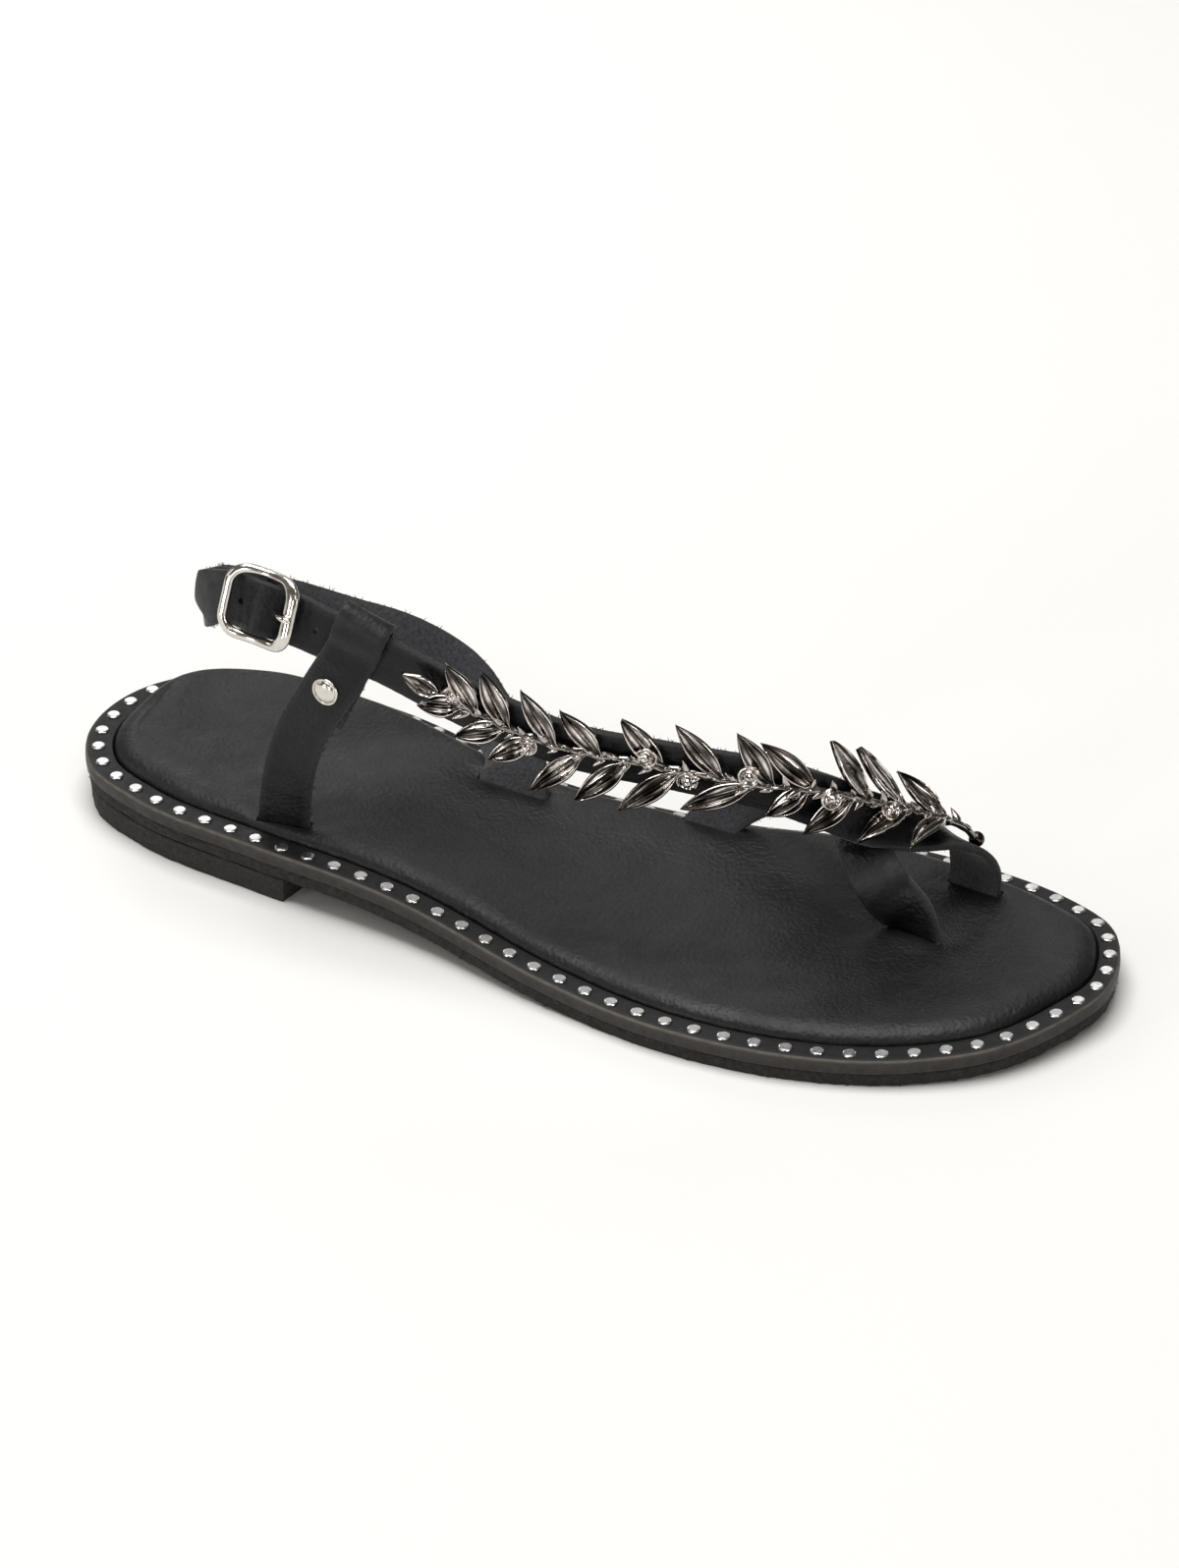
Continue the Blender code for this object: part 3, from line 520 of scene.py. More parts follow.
LOWER_LEAVES = [
    # along, length, swing, lift
    (20.6, 18.0, 46, 2),
    (30.8, 17.0, 35, 2),
    (49.2, 16.0, 46, 2),
    (61.0, 12.0, 46, 16),
    (72.2, 18.0, 28, 8),
    (88.9, 17.0, 40, 22),
    (100.6, 15.5, 42, 22),
    (111.0, 15.5, 44, 18),
    (122.8, 12.0, 42, 19),
    (129.7, 12.0, 29, 18),
    (140.5, 10.5, 18, 20),
]
LEAF_STATIONS = [
    # along the leaf, share of the width
    (0.0, 0.24),
    (0.10, 0.34),
    (0.24, 0.74),
    (0.44, 1.0),
    (0.64, 0.90),
    (0.84, 0.52),
    (0.95, 0.22),
    (1.0, 0.05),
]

# Welt studs
STUD_RADIUS = 1.7
STUD_RISE = 0.5
STUD_PITCH = 7.2
STUD_SHARE = 0.48
STUD_END_GAP = 1.9
STUD_PROFILE = [
    # share of the radius, share of the rise
    (0.0, 1.0),
    (0.74, 1.0),
    (0.86, 0.9),
    (0.95, 0.66),
    (1.0, 0.3),
    (0.9, -1.0),
    (0.0, -1.0),
]

# Stage, in metres
FLOOR_HALF = 6.0
FLOOR_TONE = "#e2e1df"
ROOM_TONE = "#67645f"
BACKGROUND_TONE = "#f7f6f3"
LAMPS = [
    # name, place, aim, width, height, watts, colour
    ("backdrop softbox", (-1.15, 1.68, 1.22), (0.0, 0.0, 0.02), 2.2, 0.75, 4.2, "#ffffff"),
    ("heel softbox", (-0.46, 0.44, 0.36), (-0.1, 0.0, 0.02), 0.26, 0.26, 0.36, "#ffffff"),
    ("toe softbox", (-0.11, 0.56, 0.40), (0.1, 0.02, 0.01), 0.12, 0.12, 0.08, "#ffffff"),
    ("overhead softbox", (-0.25, -0.05, 2.0), (0.0, 0.0, 0.0), 1.5, 1.5, 46.0, "#ffffff"),
    ("toe softbox above", (0.85, -0.45, 1.5), (0.07, 0.01, 0.02), 0.4, 0.4, 2.2, "#ffffff"),
    ("side softbox", (-1.9, -0.7, 0.9), (0.0, 0.0, 0.03), 0.4, 1.0, 4.5, "#fffaf3"),
    ("left strip", (-0.70, -1.44, 0.22), (0.0, 0.0, 0.05), 0.16, 0.7, 5.0, "#ffffff"),
    ("middle strip", (0.05, -1.6, 0.30), (0.0, 0.0, 0.05), 0.10, 0.6, 3.0, "#ffffff"),
    ("right strip", (1.45, -0.62, 0.35), (0.0, 0.0, 0.05), 0.12, 0.6, 3.0, "#ffffff"),
    ("front fill", (1.35, -1.85, 1.45), (0.0, 0.0, 0.0), 0.5, 0.5, 3.2, "#fffcf8"),
]

# Camera: where it stands and what it looks at, with the photograph's perspective
CAMERA_PLACE = (0.8555, -1.5279, 1.1123)
CAMERA_AIM = (0.002, 0.0, 0.032)
CAMERA_LENS = 205.0


# Materials

def linear(code):
    """Linear colour from an sRGB hex code."""
    parts = [int(code[i:i + 2], 16) / 255 for i in (1, 3, 5)]
    return (*[c / 12.92 if c <= 0.04045 else ((c + 0.055) / 1.055) ** 2.4 for c in parts], 1.0)


def add(tree, kind, inputs=(), **settings):
    """One node with its settings; each input is a value, or a socket to link."""
    node = tree.nodes.new(kind)
    for name, value in settings.items():
        setattr(node, name, value)
    for key, value in dict(inputs).items():
        if isinstance(value, bpy.types.NodeSocket):
            tree.links.new(value, node.inputs[key])
        else:
            node.inputs[key].default_value = value
    return node


def material(name, tones, mottle, gloss, relief, wear_and_sheen_paint=None, **shader):
    """Surface with mottled tones, uneven gloss and layered relief.

    tones are the darkest and lightest hex colours and mottle the patch width in mm; gloss is the lowest and
    highest roughness with its patch width; relief rows are texture, grain width, height and stretch.
    The last argument is the tone and roughness that the piece's own attribute of wear and sheen brings out:
    real wear on some pieces, painted highlight and sheen on others.
    """
    made = bpy.data.materials.new(name)
    made.use_nodes = True
    tree = made.node_tree
    principled = tree.nodes["Principled BSDF"]
    for key, value in shader.items():
        principled.inputs[key.replace("_", " ").title().replace("Ior", "IOR")].default_value = value
    place = add(tree, "ShaderNodeTexCoord").outputs["Object"]

    patches = add(tree, "ShaderNodeTexNoise", {"Vector": place, "Scale": 1 / (mottle * MM), "Detail": 5.0,
                                               "Roughness": 0.62})
    tone = add(tree, "ShaderNodeValToRGB", {"Fac": patches.outputs["Fac"]})
    tone.color_ramp.elements[0].position = 0.30
    tone.color_ramp.elements[1].position = 0.72
    for stop, code in zip(tone.color_ramp.elements, tones):
        stop.color = linear(code)
    colour = tone.outputs["Color"]

    low, high, width = gloss
    blotches = add(tree, "ShaderNodeTexNoise", {"Vector": place, "Scale": 1 / (width * MM), "Detail": 4.0})
    blotch = blotches.outputs["Fac"]
    rough = add(tree, "ShaderNodeMapRange", {"Value": blotch, "From Min": 0.3, "From Max": 0.7,
                                             "To Min": low, "To Max": high}).outputs["Result"]
    if wear_and_sheen_paint:
        # Paler tone and roughness from the piece's attribute: real wear on some pieces, painted highlight and
        # sheen on others
        wear_and_sheen = add(tree, "ShaderNodeAttribute", attribute_name="wear_and_sheen").outputs["Fac"]
        patchy = add(tree, "ShaderNodeMath", {0: wear_and_sheen, 1: blotch}, operation="MULTIPLY").outputs[0]
        colour = add(tree, "ShaderNodeMix", {"Factor": patchy, 6: colour, 7: linear(wear_and_sheen_paint[0])},
                     data_type="RGBA").outputs[2]
        rough = add(tree, "ShaderNodeMix", {"Factor": patchy, 2: rough, 3: wear_and_sheen_paint[1]}).outputs[0]
    tree.links.new(colour, principled.inputs["Base Color"])
    tree.links.new(rough, principled.inputs["Roughness"])

    normal = None
    for texture, grain, height, stretch in relief:
        stretched = add(tree, "ShaderNodeMapping", {"Vector": place, "Scale": [1 / s for s in stretch]})
        pattern = {"Vector": stretched.outputs[0], "Scale": 1 / (grain * MM)}
        if texture == "cells":
            level = add(tree, "ShaderNodeTexVoronoi", pattern, feature="SMOOTH_F1").outputs["Distance"]
        else:
            level = add(tree, "ShaderNodeTexNoise", {**pattern, "Detail": 3.0}).outputs["Fac"]
        bump = add(tree, "ShaderNodeBump", {"Height": level, "Distance": height * MM, "Strength": 1.0})
        if normal:
            tree.links.new(normal, bump.inputs["Normal"])
        normal = bump.outputs["Normal"]
    tree.links.new(normal, principled.inputs["Normal"])
    return made


EVEN = (1, 1, 1)
LAYERED = (6, 6, 1)

# Black aniline cowhide, grain side: smooth, faint pores, a soft broad sheen and burnished shoulders; its
# paler worn tone also serves as painted sheen on the toe and keeper bends.
# Its real grain is about 0.3 mm; it is drawn at 0.9 mm so that it shows.
GRAIN_LEATHER = material(
    "aniline cowhide grain", ("#050506", "#101012"), 7.0, (0.32, 0.48, 4.0),
    [("cells", 0.9, 0.15, EVEN), ("noise", 0.5, 0.07, EVEN), ("noise", 7.0, 0.30, EVEN)],
    wear_and_sheen_paint=("#39383a", 0.62), ior=1.5, specular_ior_level=0.2, coat_weight=0.03, coat_roughness=0.3)

# The same hide's flesh side, split and left raw: dull charcoal nap with paler fibre ends.
FLESH_SUEDE = material(
    "cowhide flesh side", ("#101012", "#35363a"), 0.8, (0.86, 0.98, 1.0),
    [("noise", 0.7, 0.30, EVEN), ("noise", 1.8, 0.25, EVEN)],
    ior=1.45, sheen_weight=0.2, sheen_roughness=0.6)

# Cut edge of the hide, inked by hand: dark, dry and fibrous.
CUT_EDGE = material(
    "inked cut edge", ("#111112", "#2e2c2b"), 0.6, (0.7, 0.92, 0.8),
    [("noise", 0.45, 0.16, EVEN), ("noise", 1.2, 0.12, EVEN)], ior=1.45, sheen_weight=0.1)

# Footbed of smooth black calf over foam: satin, with hair-fine pores and a slow mottle.
FOOTBED_CALF = material(
    "footbed calf", ("#070708", "#171718"), 11.0, (0.40, 0.54, 6.0),
    [("cells", 1.0, 0.13, EVEN), ("noise", 0.6, 0.08, EVEN), ("noise", 11.0, 0.34, EVEN)],
    ior=1.5, specular_ior_level=0.3, coat_weight=0.03, coat_roughness=0.4)

# Welt strip, bonded leather: black pigmented top and a sanded, waxed brown-grey edge, both painted paler in a
# highlight line along the corner between them.
WELT_FACE = material(
    "bonded leather welt face", ("#0d0d0e", "#1a1a1b"), 3.0, (0.44, 0.60, 2.0),
    [("noise", 0.6, 0.06, EVEN), ("noise", 2.4, 0.05, EVEN)],
    wear_and_sheen_paint=("#5a544e", 0.6), ior=1.5, specular_ior_level=0.22)
WELT_EDGE = material(
    "waxed welt edge", ("#181614", "#2e2a27"), 2.2, (0.46, 0.66, 2.5),
    [("noise", 0.7, 0.07, LAYERED), ("noise", 0.4, 0.05, EVEN)],
    wear_and_sheen_paint=("#58524c", 0.6), ior=1.5, specular_ior_level=0.35)

# Outsole of pressed leather board: dark, dry, with long sanding marks along its edge.
SOLE_BOARD = material(
    "pressed leather board", ("#0b0a0a", "#2a2623"), 1.2, (0.74, 0.94, 1.6),
    [("noise", 0.9, 0.26, LAYERED), ("noise", 0.8, 0.24, EVEN)], ior=1.45)

# Heel of crepe-textured rubber: matt black, buffed in level strokes, crumbly to the touch.
HEEL_RUBBER = material(
    "buffed heel rubber", ("#0a0a09", "#2b2826"), 0.9, (0.8, 0.96, 1.2),
    [("noise", 0.9, 0.34, LAYERED), ("noise", 0.8, 0.34, EVEN)], ior=1.5)

# Bright nickel plate on steel and brass: mirror-like, with hairline handling marks.
NICKEL = material(
    "bright nickel plate", ("#c9c4bc", "#dcd8d2"), 2.0, (0.10, 0.22, 1.2),
    [("noise", 0.5, 0.006, (8, 1, 1)), ("noise", 1.5, 0.010, EVEN)], metallic=1.0)

# Nailheads of the same plate, tumbled: flat, softly silvered.
TUMBLED_NICKEL = material(
    "tumbled nickel plate", ("#b2b0af", "#cfcdcb"), 2.0, (0.20, 0.32, 1.6),
    [("noise", 1.4, 0.008, EVEN)], metallic=1.0)

# Black nickel on cast zinc: dark mirror with a warm tint and soft ripples; its pale tone is painted highlight
# on the rims and ribs, in streaks in the hollows, and on the stem, buds, berries and tendrils.
BLACK_NICKEL = material(
    "black nickel plated casting", ("#332f2c", "#524c48"), 2.5, (0.05, 0.11, 1.5),
    [("noise", 2.4, 0.08, EVEN), ("noise", 0.9, 0.012, EVEN)], wear_and_sheen_paint=("#f6efe9", 0.08), metallic=1.0)


# Curves through rows

def curve_at(knots, rows, at):
    """Smooth curve through rows at their knots, read at the given positions."""
    slopes = np.gradient(rows, knots, axis=0)
    left = np.clip(np.searchsorted(knots, at, side="right") - 1, 0, len(knots) - 2)
    step = (knots[left + 1] - knots[left])[:, None]
    u = (at - knots[left])[:, None] / step
    start = (2 * u**3 - 3 * u**2 + 1) * rows[left] + (u**3 - 2 * u**2 + u) * step * slopes[left]
    end = (3 * u**2 - 2 * u**3) * rows[left + 1] + (u**3 - u**2) * step * slopes[left + 1]
    return start + end


def chord_knots(points):
    """Distance of each point along a path."""
    steps = np.linalg.norm(np.diff(points, axis=0), axis=1)
    return np.concatenate([[0.0], np.cumsum(steps)])


def unit(vectors):
    """The vectors at length one."""
    return vectors / np.linalg.norm(vectors, axis=-1, keepdims=True)


def round_run(loop):
    """Running direction at each point of a closed loop."""
    return unit(np.roll(loop, -1, axis=0) - np.roll(loop, 1, axis=0))


def bell(at, centre, width):
    """Soft bump of height one at its centre."""
    return np.exp(-((at - centre) / width)**2)


def smooth_step(value):
    """Ease from 0 to 1 as the value goes from 0 to 1."""
    t = np.clip(value, 0.0, 1.0)
    return t * t * (3 - 2 * t)


def square_to(vectors, run):
    """The vectors turned square to the run."""
    return unit(vectors - run * np.sum(vectors * run, axis=-1, keepdims=True))


def uneven(points, width, shift=0.0):
    """Smooth random value from -1 to 1 at each point, in patches of the given width."""
    offset = Vector((shift, shift, shift))
    flat = np.asarray(points).reshape(-1, 3)
    values = [noise.noise(Vector(p) / width + offset) for p in flat]
    return np.array(values).reshape(np.shape(points)[:-1])


class StrapLine:
    """A strap's centre line with its running, width and outward directions at any distance along."""

    def __init__(self, rows):
        self.places = {row[0]: index for index, row in enumerate(rows)}
        self.rows = np.array([row[1:4] for row in rows], dtype=float)
        facing, rise = np.radians([row[4:6] for row in rows]).T
        level = np.cos(rise)
        self.facing = np.stack([level * np.cos(facing), level * np.sin(facing), np.sin(rise)], axis=1)
        self.knots = chord_knots(self.rows)
        self.length = self.knots[-1]

    def distance(self, place):
        """Distance along to a named place."""
        return self.knots[self.places[place]]

    def frame(self, along):
        """Points with their running, width and outward directions."""
        along = np.atleast_1d(np.asarray(along, dtype=float))
        nudge = 0.2
        points = curve_at(self.knots, self.rows, along)
        ahead = curve_at(self.knots, self.rows, np.clip(along + nudge, 0, self.length))
        behind = curve_at(self.knots, self.rows, np.clip(along - nudge, 0, self.length))
        run = unit(ahead - behind)
        across = unit(np.cross(run, curve_at(self.knots, self.facing, along)))
        return points, run, across, np.cross(across, run)

    def spaced(self, start, end, step=STRAP_STEP):
        """Even distances from start to end, about a step apart."""
        return np.linspace(start, end, max(2, int(round((end - start) / step)) + 1))

    def at(self, along):
        """Point and directions at one distance."""
        return [values[0] for values in self.frame(along)]


LONG_LINE = StrapLine(STRAP_LINE)
BAND_LINE = StrapLine(TOE_BAND)
UPRIGHT_LINE = StrapLine(UPRIGHT)
BUCKLE_BAR = LONG_LINE.distance("buckle")


# Meshes

def added(name, data):
    """Object with this data, in the scene."""
    thing = bpy.data.objects.new(name, data)
    bpy.context.collection.objects.link(thing)
    return thing


def piece(name, points, faces, looks, face_looks=None):
    """Smooth closed object from points in millimetres; face_looks picks each face's material from looks."""
    mesh = bpy.data.meshes.new(name)
    mesh.from_pydata((np.asarray(points, dtype=float).reshape(-1, 3) * MM).tolist(), [], faces)
    for look in looks:
        mesh.materials.append(look)
    if face_looks is not None:
        mesh.polygons.foreach_set("material_index", face_looks)
    shell = bmesh.new()
    shell.from_mesh(mesh)
    bmesh.ops.recalc_face_normals(shell, faces=shell.faces)
    shell.to_mesh(mesh)
    shell.free()
    mesh.shade_smooth()
    return added(name, mesh)


def set_wear_and_sheen(thing, values):
    """Real wear, and painted highlight and sheen, at each point of a piece, for its material to bring out."""
    wear_and_sheen_paint = thing.data.attributes.new("wear_and_sheen", "FLOAT", "POINT")
    wear_and_sheen_paint.data.foreach_set("value", np.broadcast_to(values, len(thing.data.vertices)).astype(float))
    return thing


def finished(thing, slot, *nodes, crisp=38):
    """A finished piece: sharp corners kept crisp, riding on the shoe, standing for any solids it has."""
    thing.data.shade_smooth()
    thing.data.set_sharp_from_angle(angle=math.radians(crisp))
    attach(thing, "root")
    if nodes:
        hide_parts(*nodes)
    return thing


def plain_mesh(thing):
    """The object's evaluated mesh with its modifiers gone."""
    graph = bpy.context.evaluated_depsgraph_get()
    result = bpy.data.meshes.new_from_object(thing.evaluated_get(graph))
    thing.modifiers.clear()
    thing.data = result


def combine(target, tool, operation="DIFFERENCE"):
    """Boolean of two closed pieces; the tool is used up."""
    step = target.modifiers.new(operation.title(), "BOOLEAN")
    step.operation = operation
    step.object = tool
    step.solver = "EXACT"
    plain_mesh(target)
    bpy.data.objects.remove(tool, do_unlink=True)


def joined(name, things):
    """Several pieces as one object."""
    with bpy.context.temp_override(active_object=things[0], selected_editable_objects=things):
        bpy.ops.object.join()
    things[0].name = name
    return things[0]


def grid_faces(rows, sides, closed=False):
    """Quads between rows of points that each run round a closed section."""
    faces = []
    for i in range(rows if closed else rows - 1):
        a = i * sides
        b = ((i + 1) % rows) * sides
        faces += [(a + j, a + (j + 1) % sides, b + (j + 1) % sides, b + j) for j in range(sides)]
    return faces


def lofted(name, sections, looks, section_looks=None, closed=False, cap_look=0):
    """Piece through sections with equal point counts, capped unless it closes on itself."""
    rows, sides = np.shape(sections)[:2]
    faces = grid_faces(rows, sides, closed)
    face_looks = list(section_looks if section_looks is not None else [0] * sides) * (len(faces) // sides)
    if not closed:
        faces += [tuple(range(sides)), tuple(range((rows - 1) * sides, rows * sides))]
        face_looks += [cap_look, cap_look]
    return piece(name, sections, faces, looks, face_looks)


def rod(name, centres, across, radii, sides, looks, closed=False):
    """Wire along a path; radii are its half sizes along the across direction and square to it."""
    run = round_run(centres) if closed else unit(np.gradient(centres, axis=0))
    first = square_to(across, run)
    second = np.cross(run, first)
    radii = np.broadcast_to(radii, (len(centres), 2))
    angle = np.arange(sides) * 2 * math.pi / sides
    sections = (centres[:, None]
                + first[:, None] * (np.cos(angle) * radii[:, :1])[..., None]
                + second[:, None] * (np.sin(angle) * radii[:, 1:])[..., None])
    return lofted(name, sections, looks, closed=closed)


def turned(name, profile, centre, axis, looks, sides=40):
    """Piece turned about an axis; the profile of radius and height starts and ends on it."""
    axis = unit(np.asarray(axis, dtype=float))
    first = square_to(np.array([1.0, 0.0, 0.0]) if abs(axis[0]) < 0.8 else np.array([0.0, 1.0, 0.0]), axis)
    second = np.cross(axis, first)
    angle = np.arange(sides) * 2 * math.pi / sides
    around = np.cos(angle)[:, None] * first + np.sin(angle)[:, None] * second
    rings = [centre + axis * height + around * radius for radius, height in profile[1:-1]]
    points = np.concatenate([*rings, [centre + axis * profile[0][1], centre + axis * profile[-1][1]]])
    faces = grid_faces(len(rings), sides)
    top, bottom = len(points) - 2, len(points) - 1
    last = (len(rings) - 1) * sides
    for j in range(sides):
        k = (j + 1) % sides
        faces += [(top, j, k), (bottom, last + k, last + j)]
    return piece(name, points, faces, looks)


def turned_template(name, profile, axis, look, sides):
    """Turned piece to set copies of: a millimetre of its profile is a metre here; copies scale it back."""
    return turned(name, np.asarray(profile) / MM, np.zeros(3), axis, [look], sides)


def dome(radius, rise, top, steps=8):
    """Profile rows of a domed head, from its crown to its rim."""
    angle = np.linspace(0, math.pi / 2, steps)
    return [(radius * math.sin(a), top + rise * math.cos(a)) for a in angle]


# Copies set on points by Geometry Nodes

def copies_tree():
    """Tree that sets a template on every point, turned and sized by the point's values and loosely tilted."""
    tree = bpy.data.node_groups.new("set copies", "GeometryNodeTree")
    tree.interface.new_socket("Points", in_out="INPUT", socket_type="NodeSocketGeometry")
    keys = {}
    for name, kind in (("Template", "Object"), ("Tilt", "Float"), ("Seed", "Int"), ("Look", "Material")):
        socket = tree.interface.new_socket(name, in_out="INPUT", socket_type="NodeSocket" + kind)
        keys[name] = socket.identifier
    tree.interface.new_socket("Copies", in_out="OUTPUT", socket_type="NodeSocketGeometry")
    given = add(tree, "NodeGroupInput").outputs
    turn = add(tree, "GeometryNodeInputNamedAttribute", {"Name": "turn"}, data_type="FLOAT_VECTOR")
    size = add(tree, "GeometryNodeInputNamedAttribute", {"Name": "size"}, data_type="FLOAT_VECTOR")
    least = add(tree, "ShaderNodeMath", {0: given["Tilt"], 1: -1.0}, operation="MULTIPLY")
    limits = {"Min": least.outputs[0], "Max": given["Tilt"], "Seed": given["Seed"]}
    tilt = add(tree, "FunctionNodeRandomValue", limits, data_type="FLOAT_VECTOR")
    set_turn = add(tree, "FunctionNodeEulerToRotation", {0: turn.outputs[0]})
    loose = add(tree, "FunctionNodeEulerToRotation", {0: tilt.outputs[0]})
    whole = add(tree, "FunctionNodeRotateRotation", {0: set_turn.outputs[0], 1: loose.outputs[0]},
                rotation_space="LOCAL")
    template = add(tree, "GeometryNodeObjectInfo", {"Object": given["Template"]})
    placed = add(tree, "GeometryNodeInstanceOnPoints", {
        "Points": given["Points"], "Instance": template.outputs["Geometry"],
        "Rotation": whole.outputs[0], "Scale": size.outputs[0]})
    real = add(tree, "GeometryNodeRealizeInstances", {0: placed.outputs[0]})
    dressed = add(tree, "GeometryNodeSetMaterial", {0: real.outputs[0], "Material": given["Look"]})
    add(tree, "NodeGroupOutput", {0: dressed.outputs[0]})
    return tree, keys


COPIES_TREE, COPIES_KEYS = copies_tree()


def copies(name, template, places, axes, sizes, look, tilt=0.0, seed=1):
    """Copies of a template at places in mm; axes are each copy's own x, y and z directions."""
    mesh = bpy.data.meshes.new(name)
    mesh.from_pydata((np.asarray(places) * MM).tolist(), [], [])
    turns = [Matrix(np.asarray(axis).T.tolist()).to_euler() for axis in axes]
    for key, rows in (("turn", turns), ("size", sizes)):
        values = mesh.attributes.new(key, "FLOAT_VECTOR", "POINT")
        values.data.foreach_set("vector", np.asarray(rows, dtype=float).ravel())
    thing = added(name, mesh)
    step = thing.modifiers.new("copies", "NODES")
    step.node_group = COPIES_TREE
    for key, value in (("Template", template), ("Tilt", tilt), ("Seed", seed), ("Look", look)):
        step[COPIES_KEYS[key]] = value
    plain_mesh(thing)
    bpy.data.objects.remove(template, do_unlink=True)
    return thing


# Loose fibres along raw edges; real ones are about 0.03 mm thick and are drawn coarser so that they show

FIBRE_CHANCE = np.random.default_rng(17)
FIBRE_PITCH = 1.5
FIBRE_THICK = 0.09
FIBRE_ROOT = 0.1
FIBRE_PATH = [
    # along, beside, up, share of the thickness
    (0.0, 0.0, 0.0, 1.0),
    (0.4, 0.02, 0.05, 0.85),
    (0.75, -0.03, 0.16, 0.6),
    (1.0, 0.05, 0.34, 0.2),
]
# Least and most lean along the edge, droop and length
FIBRE_LEAST = (-0.9, -0.2, 0.35)
FIBRE_MOST = (0.9, 0.7, 1.05)
SOLE_FIBRE_RISE = 0.35
SOLE_FIBRE_DROOP = np.array([0.0, 0.0, 0.25])
STRAP_FIBRES = []
SOLE_FIBRES = []


def grow_fibre(bundle, root, outwards, run, droop):
    """Add one fibre to a bundle: it leaves its root outwards, leans along the edge and droops."""
    lean, fall, length = FIBRE_CHANCE.uniform(FIBRE_LEAST, FIBRE_MOST)
    way = unit(outwards + run * lean + droop * fall)
    side = square_to(run, way)
    bundle.append((root - way * FIBRE_ROOT, (way, side, np.cross(way, side)), (length * MM,) * 3))


def make_fibres(name, bundle, look):
    """A bundle of fibres as copies of one bent, tapering hair."""
    path = np.array(FIBRE_PATH)
    radii = FIBRE_THICK * path[:, 3:] / MM
    hair = rod("fibre", path[:, :3] / MM, (0.0, 1.0, 0.0), radii, sides=4, looks=[look])
    fibres = copies(name, hair, *zip(*bundle), look, tilt=0.4, seed=29)
    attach(fibres, "root")


# Sole

def sole_outline(inset):
    """Closed outline from the heel back along the lateral side to the toe and back, moved inwards."""
    rows = np.array(SOLE_STATIONS)
    x = rows[:, 0] - SOLE_LENGTH / 2
    lateral = np.stack([x, rows[:, 1]], axis=1)
    medial = np.stack([x, rows[:, 2]], axis=1)
    loop = np.concatenate([lateral, medial[-2:0:-1]])
    wrap = 3
    padded = np.concatenate([loop[-wrap:], loop, loop[:wrap]])
    knots = chord_knots(padded)
    spans = range(wrap, wrap + len(loop))
    parts = np.arange(OUTLINE_STEPS) / OUTLINE_STEPS
    at = np.concatenate([knots[i] + parts * (knots[i + 1] - knots[i]) for i in spans])
    points = curve_at(knots, padded, at)
    run = round_run(points)
    inwards = np.stack([-run[:, 1], run[:, 0]], axis=1)
    return points + inwards * np.reshape(inset, (-1, 1))


def sole_lift(x):
    """Height of the sole's underside above the floor: heel seat, arch, flat ball and toe spring."""
    along = x + SOLE_LENGTH / 2
    heel = HEEL_HEIGHT * (1 - smooth_step((along - ARCH_START) / (ARCH_END - ARCH_START)))
    spring = np.clip((along - TOE_SPRING_START) / (SOLE_LENGTH - TOE_SPRING_START), 0.0, 1.0)
    return heel + TOE_SPRING * spring**2


def welt_width():
    """Width of the welt at each outline point: narrower along the medial side."""
    medial = smooth_step(sole_outline(0.0)[:, 1] / MEDIAL_SIDE)
    return WELT_WIDTH + (WELT_WIDTH_MEDIAL - WELT_WIDTH) * medial


def insole_crown(plan):
    """Height of the padded edge above the welt: fuller along the medial side and the inner heel."""
    along = plan[:, 0] + SOLE_LENGTH / 2
    heel = 1 - smooth_step((along - HEEL_CUP_START) / (HEEL_CUP_END - HEEL_CUP_START))
    behind_toe = 1 - smooth_step((along - MEDIAL_RISE_START) / (MEDIAL_RISE_END - MEDIAL_RISE_START))
    medial = behind_toe * smooth_step(plan[:, 1] / MEDIAL_SIDE)
    inner_heel = heel * smooth_step((plan[:, 1] / MEDIAL_SIDE + 1) / 2)
    return INSOLE_CROWN + INSOLE_HEEL_RISE * inner_heel + INSOLE_MEDIAL_RISE * medial


def ring(inset, height, wander=0.0, width=3.0):
    """Outline at an inset and a height above the sole's underside, wandering in and out as if cut by hand."""
    flat = sole_outline(inset)
    loop = np.column_stack([flat, sole_lift(flat[:, 0]) + height])
    if wander:
        flat = sole_outline(inset + wander * uneven(loop, width))
        loop = np.column_stack([flat, sole_lift(flat[:, 0]) + height])
    return loop


def ladder(first, count, columns=None):
    """Faces that span a ring from its lateral to its medial side, through any inner columns."""
    half = count // 2
    faces = []
    for k in range(half):
        inner = columns[k - 1] if columns is not None and k > 0 else []
        inner_next = columns[k] if columns is not None and k < half - 1 else []
        row = [first + k, *inner, first + (count - k) % count]
        row_next = [first + k + 1, *inner_next, first + count - k - 1]
        if k == 0:
            row = row[:1]
        if k == half - 1:
            row_next = row_next[:1]
        if len(row) == len(row_next):
            faces += [(row[j], row[j + 1], row_next[j + 1], row_next[j]) for j in range(len(row) - 1)]
        else:
            apex, fan = (row[0], row_next) if len(row) == 1 else (row_next[0], row)
            faces += [(apex, fan[j], fan[j + 1]) for j in range(len(fan) - 1)]
    return faces


